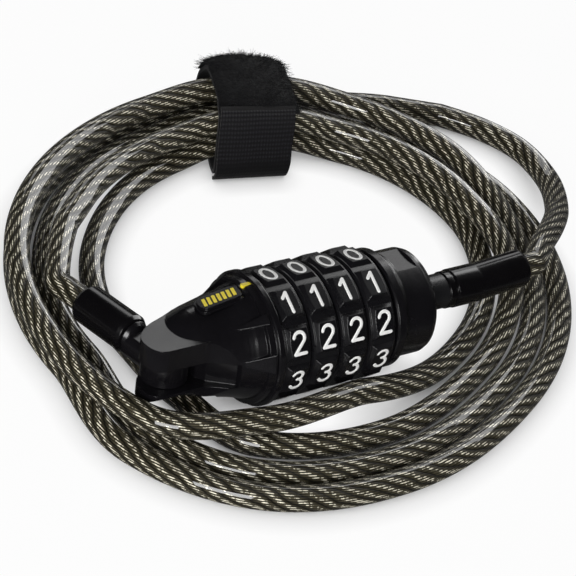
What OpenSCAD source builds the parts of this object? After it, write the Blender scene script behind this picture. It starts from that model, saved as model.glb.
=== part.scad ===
// Cable lock with four number dials: a moulded head with a fork, a sliding bolt,
// a hinged cable terminal and one long jacketed cable, coiled and held by a strap.
// Millimetres, +Z up. The lock head lies along X, with its bolt pointing to +X.

/* [Dials] */
// Diameter over the raised pads of a dial
dial_d = 30.6; // [29:0.2:32]
// Width of one dial along the axis
dial_w = 7.2; // [6.8:0.1:7.6]
// Air between neighbouring dials
dial_gap = 0.3; // [0.2:0.05:0.5]
// Depth of the valleys between the pads
valley_depth = 1.1; // [0.6:0.1:1.5]
// Width of a raised pad's top along the axis
pad_w = 4; // [3.6:0.1:4.4]
// How far each side of a pad slopes out to its foot
pad_side = 1; // [0.6:0.1:1.1]
// Width of a pad's flat top round the dial, in degrees
pad_flat = 24; // [20:1:26]
// Width of a pad's foot round the dial, in degrees
pad_foot = 31; // [28:1:34]
// Thickness of the lip inside a dial that its code ring rests on
lip_w = 2; // [1.6:0.1:2.2]

/* [Code rings] */
// Outer diameter of a code ring without its splines
ring_d = 18.4; // [17.6:0.2:19]
// Width of a code ring along the axis
ring_w = 4.4; // [4:0.1:4.6]
// Height of a spline on a code ring
spline_h = 0.7; // [0.5:0.1:0.9]
// Width of a spline
spline_w = 1.8; // [1.4:0.1:2.2]

/* [Spindle and bolt] */
// Outer diameter of the slotted spindle
spindle_d = 11; // [10.6:0.1:11.4]
// Diameter of the bolt rod
rod_d = 6; // [5.6:0.1:6.4]
// Length of the bolt rod inside the lock, from the first dial's outer face
rod_reach = 2.4; // [2:0.1:3]
// Diameter of the bolt's thick shank
shank_d = 8.3; // [7.8:0.1:8.8]
// Length of shank that shows between the lock and the ferrule
shank_show = 8.5; // [7:0.5:11]
// Width of a bolt lug
lug_w = 2.2; // [1.8:0.1:2.4]
// Radius that the lugs reach
lug_r = 6.8; // [6.6:0.1:7]
// Length of a lug along the axis
lug_l = 2; // [1.6:0.1:2.1]
// Sliding clearance round the bolt, on the radius
slide_fit = 0.1; // [0.05:0.01:0.1]

/* [Lock body] */
// How much the flange stands out past the dials, on the radius
flange_over = 0.2; // [0.1:0.1:0.6]
// Thickness of the flange
flange_w = 1.8; // [1.6:0.1:2.4]
// Radius of the body where it meets the flange
body_root_r = 13.4; // [12.6:0.2:14]
// Height of the fork from its lower to its upper face
fork_h = 14.7; // [14:0.1:15.4]
// Height of the slot in the fork
slot_h = 6.3; // [5.9:0.1:6.5]
// How far the middle of the slot lies below the middle of the fork
slot_drop = 1.25; // [1:0.05:1.5]
// How far the fork's pin lies from the middle of the dials
pin_x = 37; // [36:0.2:37.4]
// Diameter of the fork's pin
pin_d = 4; // [3.6:0.1:4.4]
// Length of the raised pad on top of the body
badge_l = 10.4; // [9:0.2:11]
// Width of the raised pad
badge_w = 4.4; // [3.8:0.2:5]
// Depth of the raised pads, ribs and fins above the body
relief = 1.3; // [1:0.1:1.6]

/* [End collar] */
// Length of the collar past the dials
collar_l = 13.4; // [12.4:0.2:15]
// Diameter of the collar
collar_d = 24.8; // [23.6:0.2:26]
// Diameter of the collar's shoulder
shoulder_d = 27.8; // [27:0.2:29]
// Thickness of the washer between the last dial and the collar
washer_w = 0.6; // [0.4:0.1:0.8]
// Thickness of the snap ring
snap_w = 1; // [0.8:0.1:1.1]

/* [Cable fittings] */
// Outer diameter of the ferrule and of the hinged sleeve
fitting_d = 9.2; // [9:0.1:9.6]
// Length of the ferrule
ferrule_l = 23.5; // [20:0.5:26]
// Bend of the ferrule's outer half, in degrees
ferrule_kink = 5; // [0:1:6]
// Distance from the fork's pin to the mouth of the hinged sleeve
mouth_reach = 27; // [26:0.2:27.4]
// Length of the hinged sleeve
sleeve_l = 16.3; // [14:0.1:16.5]
// Radius of the eye in the fork
eye_r = 5.4; // [5:0.1:5.6]
// Running clearance round the fork's pin, on the radius
pin_fit = 0.06; // [0.03:0.01:0.1]
// Angle between the lock's axis and the hinged sleeve
sleeve_angle = 78; // [76:1:80]

/* [Cable and strap] */
// Diameter of the jacketed cable
cable_d = 6; // [5.6:0.1:6]
// Distance between the middles of strands that lie side by side
strand_pitch = 6.5; // [6.5:0.1:6.8]
// Mean radius of the inner strand of the coil
coil_r = 47.6; // [47:0.2:49]
// Width of the hook and loop strap
strap_w = 19.5; // [16:0.5:22]
// Thickness of the strap
strap_t = 1; // [0.8:0.1:1.1]

/* [Hidden] */
round_fn = 72;
dial_count = 4;
digit_count = 10;
seat_fit = 0.05;
gap = 0.3;
far = 60;

// The dial stack and what holds it
dial_r = dial_d / 2;
dial_pitch = dial_w + dial_gap;
stack_half = dial_count * dial_pitch / 2 - dial_gap / 2;
flange_r = dial_r + flange_over;
axis_h = flange_r;
body_face = -stack_half - gap;
collar_face = stack_half + gap + washer_w;
collar_end = stack_half + gap + collar_l;
digit_step = 360 / digit_count;
digit_phase = -6;
ring_r = ring_d / 2;
spindle_r = spindle_d / 2;
rod_r = rod_d / 2;
shank_r = shank_d / 2;
ring_bore_r = spindle_r + slide_fit;
gate_r = lug_r + gap;
gate_w = lug_w + 2 * gap;
lip_r = gate_r + gap;
spindle_socket = 4;
spindle_end = collar_end - 5;
snap_depth = 0.4;
snap_r = spindle_r + 1.8;
snap_x = collar_face + 0.5;

// The head is rolled a little about its own axis, so that the sleeve tips to the floor
lock_roll = 10;
pin_y = -0.5;
// The fork's outline is set out from its pin
nose_x = -pin_x;
nose_reach = pin_x + 7.2;
badge_x = -24.4;
badge_tilt = 9.5;
plinth = 0.9;
badge_z = 11.6;
// Where the underside runs down to the flange, and over what length
foot_x = -22;
foot_run = 5.5;
tab_w = 2.2;
tab_r = 14.1;
tab_l = 2.4;
rib_reach = 7.2;
rib_w = 2.6;
fin_w = 4.6;
fin_tip = 0.15;
rib_angles = [-40, 40];
fin_angles = [-80, 80];

// Plan of the body and fork, seen from above: x and distance to the back. Smooth lines
// run through the points. The fork keeps to its own width where the body flares
cheek = 7.5;
plan_front = [[-16, -14.4], [-19.2, -13.6], [-24, -11.5], [-27.5, -9.3], [nose_x + 6.6, -7.7],
              [nose_x + 3.6, -cheek]];
plan_nose = [[nose_x - 3.6, -cheek], [nose_x - 5.4, -6.9], [nose_x - 6.6, -5.4], [nose_x - 7.2, -3.2],
             [nose_x - 7, -0.9], [nose_x - 5.6, 1.3], [nose_x - 2.7, 3.4], [nose_x + 1.6, 5.1],
             [nose_x + 4.9, 6.6]];
plan_back = [[nose_x + 4.9, 6.6], [-27.8, 7.8], [-24, 9.6], [-21, 12], [-19.2, 13.6], [-16, 14.4]];
nose_line = smooth_line(plan_nose, 5);
body_plan = concat(smooth_line(plan_front, 3), nose_line, smooth_line(plan_back, 3));
fork_plan = concat([[-20, -cheek]], nose_line, [[-24, cheek], [-20, cheek]]);
// Turned outline of the body: x and radius
turn_line = [
    [nose_x - 0.4, 5.2], [nose_x, 6.7], [nose_x + 0.9, 7.8], [nose_x + 2.4, 8.8],
    [nose_x + 4.6, 9.7], [nose_x + 7, 10.4], [-25, 11.4], [-22, 12.2], [-20.4, 12.8]];
body_turn = concat([[nose_x - 0.4, 0]], smooth_line(turn_line, 2));

// Fittings
slot_mid = -slot_drop;
recess_end = -24;
fitting_r = fitting_d / 2;
pin_r = pin_d / 2;
eye_h = slot_h - 2 * 0.2;
eye_neck_w = 7.4;
stub_r = fitting_r - 1.2;
ferrule_x = collar_end + shank_show;
ferrule_half = 9;
bend_lap = 0.4;
bend_step = 0.12;
edge_round = 0.9;
swing_gap = 0.5;

// The frame's origin is on the floor under the middle of the rigid lock
mouth_lift = sin(sleeve_angle);
sleeve_out = pin_x + (mouth_reach - 1.2) * cos(sleeve_angle) + fitting_r * sin(sleeve_angle);
frame_x = (ferrule_x + ferrule_half + (ferrule_l - ferrule_half) * cos(ferrule_kink)
           + (fitting_r - edge_round) * sin(ferrule_kink) - max(nose_reach, sleeve_out)) / 2;
frame_y = (pin_y * cos(lock_roll) + mouth_reach * mouth_lift * cos(lock_roll)
           + fitting_r * 0.2 - flange_r) / 2;

// The coil's tracks: stations round the coil in degrees, and for each turn how far
// the strand lies outside the inner track at each station
cable_r = cable_d / 2;
cable_sides = 6;
run_sides = 8;
flat_r = cable_r * cos(180 / cable_sides);
run_lift = [0, 0, cable_r * cos(180 / run_sides) - flat_r];
coil_x = 15;
coil_y = 28;
oval = 3.7;
oval_turn = 17;
track_unit = 6.4;
coil_start = 38;
coil_end = 1583;
start_track = 27;
stations = [55, 110, 155, 190, 212, 232, 262, 300, 335, 365];
tracks = [
    [20, 17.6, 16.8, 16.4, 25, 27, 23.6, 19.6, 19.1, 18],
    [11.4, 11, 10.3, 9.9, 17.7, 20, 17, 13.2, 12.7, 11.2],
    [13.6, 15.2, 17.2, 18.8, 20.2, 10.6, 0.3, -0.4, 0.3, 2],
    [2, 1, -0.7, -0.7, 3.6, 11.1, 9.4, 6.5, 6.4, 2.2],
    [1.4, 3.2, 5.5, 5.6]];
// Climbs between the layers: where each starts and ends, and 1 up or -1 down
climbs = [[700, 742, 1], [962, 1018, -1], [1382, 1440, 1]];
strap_turn = 72;
strap_lift = 1.6;
lift_flat = 9;
lift_ramp = 18;
rings_per_loop = 24;
// Brushed pile on top of the strap: its stretch of the band's line, and its height
pile_from = 15;
pile_to = 24;
pile_h = 3.6;

// Route of the cable from the ferrule to the coil, and from the coil to the sleeve
bolt_route = [[71, 6, 16.2], [80.5, 13.5, 13.4], [89.3, 22.3, 9.8], [97.3, 35.6, 6],
              [99.7, 50.4, 3.6], [95, 61.4, 3]];
strap_path = [[8, 0.6], [2, 0.6], [-4.6, 0.6], [-7.8, 1.7], [-8.6, 4.2], [-7.2, 8],
              [-4.8, 12], [-1.8, 14.6], [2, 15.1], [9, 15.3], [15.6, 15.1], [20, 13.4],
              [23.2, 9.6], [24.4, 5.4], [23.9, 2], [21.4, 0.7], [15, 0.6]];

function smooth(u) = u <= 0 ? 0 : u >= 1 ? 1 : u * u * (3 - 2 * u);
function sum(v, i = 0) = i >= len(v) ? 0 : v[i] + sum(v, i + 1);
function unit(v) = v / norm(v);

// Every station of the whole winding, with the start in front
knots = concat([[coil_start, start_track]],
    [for (k = [0 : len(tracks) - 1]) for (j = [0 : len(tracks[k]) - 1])
        [stations[j] + 360 * k, tracks[k][j]]]);
function rise_of(i) = (knots[i + 1][1] - knots[i][1]) / (knots[i + 1][0] - knots[i][0]);
function knot_slope(i) =
    i <= 0 || i >= len(knots) - 1 ? (i <= 0 ? rise_of(0) : 0)
    : rise_of(i - 1) * rise_of(i) <= 0 ? 0
    : 2 * rise_of(i - 1) * rise_of(i) / (rise_of(i - 1) + rise_of(i));
function knot_at(a, i = 0) =
    i >= len(knots) - 2 || knots[i + 1][0] > a ? i : knot_at(a, i + 1);
function track_in(a, i) =
    let (h = knots[i + 1][0] - knots[i][0], u = (a - knots[i][0]) / h)
    (2 * u * u * u - 3 * u * u + 1) * knots[i][1]
    + (u * u * u - 2 * u * u + u) * h * knot_slope(i)
    + (3 * u * u - 2 * u * u * u) * knots[i + 1][1]
    + (u * u * u - u * u) * h * knot_slope(i + 1);
function track(a) = track_in(a, knot_at(a)) * strand_pitch / track_unit;
function layer(a) = strand_pitch * sum([for (c = climbs) c[2] * smooth((a - c[0]) / (c[1] - c[0]))]);
function off_strap(a) = abs((a - strap_turn + 180) % 360 - 180);
function lift(a) = strap_lift * (1 - smooth((off_strap(a) - lift_flat) / lift_ramp));
function coil_radius(a) = coil_r + oval * cos(2 * (a - oval_turn)) + track(a);
function coil_point(a) = [coil_x + coil_radius(a) * cos(a), coil_y + coil_radius(a) * sin(a),
                          flat_r + layer(a) + lift(a)];
coil_step = 360 / rings_per_loop;
coil_count = round((coil_end - coil_start) / coil_step);
coil_line = [for (i = [0 : coil_count]) coil_point(coil_start + i * (coil_end - coil_start) / coil_count)];
start_way = unit(coil_point(coil_start) - coil_point(coil_start + 2));
end_way = unit(coil_point(coil_end) - coil_point(coil_end - 2));
coil_path = concat([coil_line[0] + start_way * cable_d], coil_line,
                   [coil_line[coil_count] + end_way * cable_d]);

// Least distance between parts of the coil that don't follow each other, less its thickness
finer = [for (i = [0 : len(coil_path) - 2]) for (u = [0, 0.5])
    coil_path[i] * (1 - u) + coil_path[i + 1] * u];
least = min([for (i = [0 : len(finer) - 6]) for (j = [i + 5 : len(finer) - 1])
    norm(finer[i] - finer[j])]) - cable_d;
coil_length = sum([for (i = [0 : len(coil_path) - 2]) norm(coil_path[i + 1] - coil_path[i])]);
echo(frame = [frame_x, frame_y], mouth = mouth, coil_least_gap = least);
echo(coil_length = coil_length, rings = len(coil_path));

// The hinged sleeve's own direction and mouth, in the frame of the lock's middle
function rolled(p) = [p[0], p[1] * cos(lock_roll) + p[2] * sin(lock_roll),
                      axis_h - p[1] * sin(lock_roll) + p[2] * cos(lock_roll)];
sleeve_way = rolled([-cos(sleeve_angle), sin(sleeve_angle), 0]) - [0, 0, axis_h];
mouth = rolled([-pin_x, pin_y, 0]) + sleeve_way * (mouth_reach + swing_gap);
ferrule_way = [cos(ferrule_kink), 0, sin(ferrule_kink)];
ferrule_tip = [ferrule_x + ferrule_half, 0, axis_h] + ferrule_way * (ferrule_l - ferrule_half);

// Points of a smooth line through chosen points, with steps between each pair
function bend(p, i, u) =
    let (a = p[max(i - 1, 0)], b = p[i], c = p[i + 1], d = p[min(i + 2, len(p) - 1)])
    (2 * b + (c - a) * u + (2 * a - 5 * b + 4 * c - d) * u * u
     + (3 * b - a - 3 * c + d) * u * u * u) / 2;
function smooth_line(p, n) = concat(
    [for (i = [0 : len(p) - 2]) for (k = [0 : n - 1]) bend(p, i, k / n)], [p[len(p) - 1]]);
bolt_path = concat(
    [ferrule_tip],
    smooth_line(concat([ferrule_tip + ferrule_way * 4], bolt_route,
                       [coil_path[0] + start_way * cable_d + run_lift]), 2),
    [coil_path[0] + run_lift]);
hinge_path = concat(
    [coil_path[len(coil_path) - 1]],
    smooth_line([coil_path[len(coil_path) - 1] + end_way * 4,
                 coil_path[len(coil_path) - 1] + end_way * 12 + [0.5, -2.5, 0],
                 mouth + sleeve_way * 10 + [0.4, 0, 0.2], mouth + sleeve_way * cable_d], 2),
    [mouth]);

// A tube of equal rings along a line of points, closed by flat ends
function way_at(p, i) = i == 0 ? unit(p[1] - p[0])
    : i == len(p) - 1 ? unit(p[i] - p[i - 1])
    : unit(unit(p[i + 1] - p[i]) + unit(p[i] - p[i - 1]));
function side_of(t) = unit(cross(t, [0, 0, 1]));
module tube(p, r, sides) {
    n = len(p);
    rings = [for (i = [0 : n - 1])
        let (t = way_at(p, i), s = side_of(t), u = cross(s, t))
        for (k = [0 : sides - 1])
            let (a = (k + 0.5 * ((sides / 2) % 2 == 0 ? 1 : 0)) * 360 / sides)
            p[i] + r * (s * cos(a) + u * sin(a))];
    points = concat([p[0]], rings, [p[n - 1]]);
    first = 1;
    last = 1 + (n - 1) * sides;
    caps = concat(
        [for (k = [0 : sides - 1]) [0, first + k, first + (k + 1) % sides]],
        [for (k = [0 : sides - 1]) [n * sides + 1, last + (k + 1) % sides, last + k]]);
    walls = [for (i = [0 : n - 2]) for (k = [0 : sides - 1]) for (h = [0, 1])
        let (a = 1 + i * sides + k, b = 1 + i * sides + (k + 1) % sides)
        h == 0 ? [a, a + sides, b] : [b, a + sides, b + sides]];
    polyhedron(points, concat(caps, walls), convexity = 10);
}

// Everything is drawn round the middle of the dials, then moved to the frame's origin
module place() { translate([-frame_x, -frame_y, 0]) children(); }
module in_lock() { place() translate([0, 0, axis_h]) rotate([-lock_roll, 0, 0]) children(); }
// A turned body along X from points of x and radius
module turned(p) {
    rotate([0, 90, 0])
        rotate_extrude($fn = round_fn) polygon([for (q = p) [q[1], q[0]]]);
}
module rod_x(x0, x1, r) {
    translate([x0, 0, 0]) rotate([0, 90, 0]) cylinder(h = x1 - x0, r = r, $fn = round_fn);
}
// A block that starts at x0 and is centred across
module key_x(x0, x1, w, z0, z1) { translate([x0, -w / 2, z0]) cube([x1 - x0, w, z1 - z0]); }

module rounded_plate(l, w, h, r) {
    linear_extrude(h) {
        square([l - 2 * r, w], center = true);
        square([l, w - 2 * r], center = true);
        for (x = [-1, 1])
            for (y = [-1, 1])
                translate([x * (l / 2 - r), y * (w / 2 - r)]) circle(r, $fn = 24);
    }
}

// Fin that climbs from the body to the flange and widens towards it, like a bow
module fin(reach, top, base, w) {
    intersection() {
        rotate([90, 0, 0]) linear_extrude(2 * w, center = true)
            polygon([[-reach, base], [0, top], [0, base - 3], [-reach, base - 3]]);
        linear_extrude(far) polygon([[-reach, -fin_tip], [-reach, fin_tip], [0, w / 2], [0, -w / 2]]);
    }
}

module fork_blank() {
    intersection() {
        translate([0, 0, -fork_h / 2]) linear_extrude(fork_h) polygon(fork_plan);
        // bevel along the lower front edge, and the foot that runs up to the body
        rotate([90, 0, 90]) translate([0, 0, -far]) linear_extrude(far)
            polygon([[-7.5, -fork_h / 2 + 2.2], [-4.4, -fork_h / 2], [far, -fork_h / 2],
                     [far, far], [-far, far], [-far, -fork_h / 2 + 2.2]]);
    }
}

module body_blank() {
    back = body_face - flange_w;
    intersection() {
        turned(concat(body_turn, [[back - 1.6, body_root_r], [back - 1.6, flange_r - 1],
                                  [back, flange_r - 0.8], [back, 0]]));
        linear_extrude(far, center = true) polygon(body_plan);
        // the underside is cut flat behind the fork, and runs down to the flange
        rotate([90, 0, 0]) linear_extrude(far, center = true)
            polygon([[-far, -fork_h / 2], [foot_x - foot_run, -fork_h / 2], [foot_x, -far / 4],
                     [0, -far / 4],
                     [0, far], [-far, far]]);
    }
    turned([[back - 1.6, 0], [back - 1.6, flange_r - 1.2], [back, flange_r - 0.8],
            [back, flange_r - 0.3], [back + 0.3, flange_r],
            [body_face - 0.3, flange_r], [body_face, flange_r - 0.3], [body_face, 0]]);
}

module housing() {
    slot_end = -pin_x + eye_r + 0.6;
    color([0.07, 0.07, 0.08]) in_lock() difference() {
        union() {
            fork_blank();
            body_blank();
            // raised pad on the crown, on a low plinth
            translate([badge_x, 0, badge_z]) rotate([0, -badge_tilt, 0]) {
                rounded_plate(badge_l, badge_w, relief, 0.4 * badge_w);
                rounded_plate(badge_l + plinth, badge_w + plinth, relief - 0.6, 0.4 * badge_w);
            }
            // tab beside the flange that carries the index mark
            key_x(body_face - flange_w - tab_l, body_face - flange_w + 0.5, tab_w, 11, tab_r);
            for (a = rib_angles)
                rotate([a, 0, 0]) translate([body_face - flange_w - 0.6, 0, 0])
                    fin(rib_reach, flange_r - 0.5, 11.2, rib_w);
            for (a = fin_angles)
                rotate([a, 0, 0]) translate([body_face - flange_w - 0.6, 0, 0])
                    fin(rib_reach, flange_r - 0.3, 11, fin_w);
        }
        // slot for the eye, opened towards the back for its swing
        translate([0, 0, slot_mid - slot_h / 2]) linear_extrude(slot_h)
            polygon([[-far, -far / 4], [recess_end, -far / 4], [recess_end, -9.6],
                     [slot_end + 1.5, -5.6], [slot_end, -3.5], [slot_end, 0], [slot_end + 7, 15],
                     [-far, 15]]);
        // bore for the pin, closed at the top
        translate([-pin_x, pin_y, -fork_h]) cylinder(h = fork_h * 1.5 - 1.4, r = pin_r + seat_fit,
                                                     $fn = round_fn);
        // socket of the spindle, end of the bolt's bore and room for the first lug
        rod_x(body_face - spindle_socket, 1, spindle_r + seat_fit);
        rod_x(body_face - 0.7, 1, gate_r + gap);
    }
}

module end_collar() {
    l = collar_end - collar_face;
    r = collar_d / 2;
    s = shoulder_d / 2;
    color([0.06, 0.06, 0.07]) in_lock() difference() {
        turned([[collar_face, 0], [collar_face, s - 0.4], [collar_face + 0.4, s],
                [collar_face + 2.2, s], [collar_face + 3.4, r + 0.5], [collar_face + 3.9, r],
                [collar_end - 2.2, r], [collar_end - 1.2, r - 0.4], [collar_end - 0.4, r - 1.3],
                [collar_end, r - 2.6], [collar_end, 0]]);
        // moulded flats on the crown and under it
        for (a = [0, 180])
            rotate([a, 0, 0]) translate([collar_face + 4.4, -far / 2, r - 0.7])
                cube([l - 7.4, far, far]);
        rod_x(collar_face - 1, spindle_end + 0.3, spindle_r + seat_fit);
        rod_x(collar_face - 1, snap_x + snap_w + 0.5, snap_r + gap);
        rod_x(spindle_end, collar_end + 1, shank_r + slide_fit);
        key_x(collar_face - 1, collar_end + 1, gate_w, 0, gate_r);
    }
}

// Slotted tube that the code rings turn on and the bolt slides in
module spindle() {
    color([0.72, 0.66, 0.42]) in_lock() difference() {
        rod_x(body_face - spindle_socket, spindle_end, spindle_r);
        rod_x(body_face - spindle_socket - 1, spindle_end + 1, rod_r + slide_fit);
        key_x(body_face - 0.7, spindle_end + 1, gate_w, 0, far);
        difference() {
            rod_x(snap_x - 0.05, snap_x + snap_w + 0.05, far);
            rod_x(snap_x - 1, snap_x + snap_w + 1, spindle_r - snap_depth);
        }
    }
}

module thrust_washer() {
    color([0.55, 0.56, 0.58]) in_lock() difference() {
        rod_x(stack_half + gap, collar_face, ring_r + 2);
        rod_x(stack_half, collar_face + 1, lip_r);
    }
}

// Open ring in the spindle's groove, with its gap over the bolt's slot
module snap_ring() {
    color([0.55, 0.56, 0.58]) in_lock() difference() {
        rod_x(snap_x, snap_x + snap_w, snap_r);
        rod_x(snap_x - 1, snap_x + snap_w + 1, spindle_r - snap_depth + seat_fit);
        translate([0, 0, 0]) rotate([45, 0, 0]) translate([snap_x - 1, 0, 0])
            cube([snap_w + 2, far, far]);
    }
}

module hinge_pin() {
    color([0.6, 0.61, 0.63]) in_lock() translate([-pin_x, pin_y, -fork_h / 2 + 0.1])
        cylinder(h = fork_h - 1.6, r = pin_r, $fn = round_fn);
}

// Cross-section of the ring of pads: flat tops joined by shallow valleys
function pad_corner(k, a, r) = let (t = k * digit_step + a) [r * cos(t), r * sin(t)];
pad_outline = [for (k = [0 : digit_count - 1]) for (c = [[-pad_foot / 2, dial_r - valley_depth],
    [-pad_flat / 2, dial_r], [pad_flat / 2, dial_r], [pad_foot / 2, dial_r - valley_depth]])
    pad_corner(k, c[0], c[1])];

// Half of the pads' width at a radius, on their sloping sides
function pad_half(r) = pad_w / 2 + pad_side * (dial_r - r) / valley_depth;

module dial(i) {
    x = (i - (dial_count + 1) / 2) * dial_pitch;
    h = dial_w / 2;
    rim = dial_r - valley_depth + 0.1;
    low = rim - 0.4;
    high = dial_r + 0.3;
    groove_r = ring_r + spline_h + 2 * seat_fit;
    color([0.05, 0.05, 0.06]) in_lock() translate([x, 0, 0]) difference() {
        union() {
            turned([[-h, 0], [-h, rim - 0.6], [-h + 0.4, rim], [h - 0.4, rim],
                    [h, rim - 0.6], [h, 0]]);
            rotate([digit_phase, 0, 0]) intersection() {
                rotate([0, 90, 0]) linear_extrude(dial_w, center = true) polygon(pad_outline);
                turned([[-pad_half(low), 0], [-pad_half(low), low], [-pad_half(high), high],
                        [pad_half(high), high], [pad_half(low), low], [pad_half(low), 0]]);
            }
        }
        rod_x(-h - 1, h + 1, lip_r);
        rod_x(-h + lip_w, h + 1, ring_r + seat_fit);
        for (k = [0 : digit_count - 1])
            rotate([k * digit_step + digit_step / 2, 0, 0])
                key_x(-h + lip_w, h + 1, spline_w + 2 * seat_fit, ring_r - 1, groove_r);
    }
}

// Ring with a gate for the bolt's lug, splined to its dial
module code_ring(i) {
    x = (i - (dial_count + 1) / 2) * dial_pitch - dial_w / 2 + lip_w + 0.2;
    color([0.75, 0.68, 0.4]) in_lock() translate([x, 0, 0]) difference() {
        union() {
            rod_x(0, ring_w, ring_r);
            for (k = [0 : digit_count - 1])
                rotate([k * digit_step + digit_step / 2, 0, 0])
                    key_x(0, ring_w, spline_w, ring_r - 1, ring_r + spline_h);
        }
        rod_x(-1, ring_w + 1, ring_bore_r);
        key_x(-1, ring_w + 1, gate_w, 0, gate_r);
    }
}

// Rod with one lug in front of each code ring, and the thick shank that shows
module bolt_rod() {
    color([0.16, 0.16, 0.17]) in_lock() {
        rod_x(-stack_half - rod_reach, spindle_end + 0.3, rod_r);
        rod_x(spindle_end + 0.2, ferrule_x, shank_r);
        for (i = [1 : dial_count]) {
            ring_x = (i - (dial_count + 1) / 2) * dial_pitch - dial_w / 2 + lip_w + 0.2;
            key_x(ring_x - gap - lug_l, ring_x - gap, lug_w, 1, lug_r);
        }
    }
}

module bolt_ferrule() {
    r = fitting_r;
    h = ferrule_half;
    l = ferrule_l - h;
    color([0.06, 0.06, 0.07]) in_lock() translate([ferrule_x, 0, 0]) {
        turned([[0, 0], [0, r - 0.6], [0.4, r - 0.2], [1.8, r - 0.2], [1.9, r - 0.4], [2.3, r - 0.4],
                [2.5, r], [h + bend_lap, r], [h + bend_lap, 0]]);
        translate([h, 0, 0]) rotate([lock_roll, 0, 0]) rotate([0, -ferrule_kink, 0])
            turned([[-bend_lap, 0], [-bend_lap, r - bend_step], [l - edge_round, r - bend_step],
                    [l - 0.3, r - 0.4], [l, r - edge_round], [l, 0]]);
    }
}

// The sleeve's axis runs from the pin along local X
module in_terminal() {
    in_lock() translate([-pin_x, pin_y, 0]) rotate([0, 0, 180 - sleeve_angle]) children();
}

module terminal_eye() {
    shoulder = mouth_reach - sleeve_l;
    color([0.07, 0.07, 0.08]) in_terminal() difference() {
        union() {
            translate([0, 0, slot_mid - eye_h / 2]) cylinder(h = eye_h, r = eye_r, $fn = round_fn);
            // round neck, as flat as the eye, that swells to the sleeve's foot
            intersection() {
                translate([0, 0, slot_mid]) rod_x(0, shoulder - 0.3, eye_neck_w / 2);
                translate([0, -far / 2, slot_mid - eye_h / 2]) cube([far, far, eye_h]);
            }
            turned([[shoulder - 1.6, 0], [shoulder - 1.6, 2.2], [shoulder - 1.1, 3.1],
                    [shoulder - 0.3, 3.8], [shoulder - 0.3, 0]]);
            rod_x(shoulder - 0.4, mouth_reach - 0.4, stub_r);
        }
        translate([0, 0, -fork_h]) cylinder(h = 2 * fork_h, r = pin_r + pin_fit, $fn = round_fn);
    }
}

module terminal_sleeve() {
    shoulder = mouth_reach - sleeve_l;
    r = fitting_r;
    color([0.05, 0.05, 0.06]) in_terminal() difference() {
        turned([[shoulder, 0], [shoulder, r - 1.2], [shoulder + 0.3, r - 0.5], [shoulder + 1.2, r],
                [mouth_reach - 1.2, r], [mouth_reach - 0.4, r - 0.4], [mouth_reach, r - 1],
                [mouth_reach, 0]]);
        rod_x(shoulder - 1, mouth_reach + 1, stub_r + seat_fit);
    }
}

module cable_coil() { color([0.33, 0.32, 0.28]) place() tube(coil_path, cable_r, cable_sides); }
module cable_bolt_end() { color([0.33, 0.32, 0.28]) place() tube(bolt_path, cable_r, run_sides); }
module cable_hinge_end() { color([0.33, 0.32, 0.28]) place() tube(hinge_path, cable_r, run_sides); }

// Band round the bundle: a closed line given a thickness and a width
function closed_bend(p, i, u) =
    let (n = len(p), a = p[(i + n - 1) % n], b = p[i], c = p[(i + 1) % n], d = p[(i + 2) % n])
    (2 * b + (c - a) * u + (2 * a - 5 * b + 4 * c - d) * u * u
     + (3 * b - a - 3 * c + d) * u * u * u) / 2;
strap_line = [for (i = [0 : len(strap_path) - 1]) for (u = [0, 0.5]) closed_bend(strap_path, i, u)];
function band_side(p, i, t) =
    let (n = len(p), d = unit(p[(i + 1) % n] - p[(i + n - 1) % n]))
    p[i] + t * [d[1], -d[0]];
function pile_dome(k) = sqrt(1 - pow(abs(2 * (k - pile_from) / (pile_to - pile_from) - 1), 3));
module pile(h) {
    polygon(concat(
        [for (k = [pile_from : pile_to]) band_side(strap_line, k, -strap_t / 2 - h * pile_dome(k))],
        [for (k = [pile_to : -1 : pile_from]) band_side(strap_line, k, -strap_t / 4)]));
}
module strap() {
    n = len(strap_line);
    inner_r = coil_r + oval * cos(2 * (strap_turn - oval_turn));
    color([0.04, 0.04, 0.05]) place() translate([coil_x, coil_y, 0]) rotate([0, 0, strap_turn])
        translate([inner_r, 0, 0]) rotate([90, 0, 0]) {
            linear_extrude(strap_w, center = true) difference() {
                polygon([for (i = [0 : n - 1]) band_side(strap_line, i, -strap_t / 2)]);
                polygon([for (i = [0 : n - 1]) band_side(strap_line, i, strap_t / 2)]);
            }
            linear_extrude(strap_w, center = true) pile(pile_h / 2);
            linear_extrude(strap_w - pile_h, center = true) pile(pile_h);
        }
}

housing();
end_collar();
spindle();
thrust_washer();
snap_ring();
hinge_pin();
dial(1);  // dial_1
dial(2);  // dial_2
dial(3);  // dial_3
dial(4);  // dial_4
code_ring(1);  // code_ring_1
code_ring(2);  // code_ring_2
code_ring(3);  // code_ring_3
code_ring(4);  // code_ring_4
bolt_rod();
bolt_ferrule();
terminal_eye();
terminal_sleeve();
cable_coil();
cable_bolt_end();
cable_hinge_end();
strap();
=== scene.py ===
"""A cable lock with four number dials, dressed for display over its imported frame.

Every size is in millimetres and is turned into metres when a mesh is finished. The
frame's origin is on the floor under the middle of the lock head.
"""

import logging
import math
import random
from dataclasses import dataclass, field
from enum import Enum

import bmesh
import bpy
from mathutils import Euler, Matrix, Quaternion, Vector, noise


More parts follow.
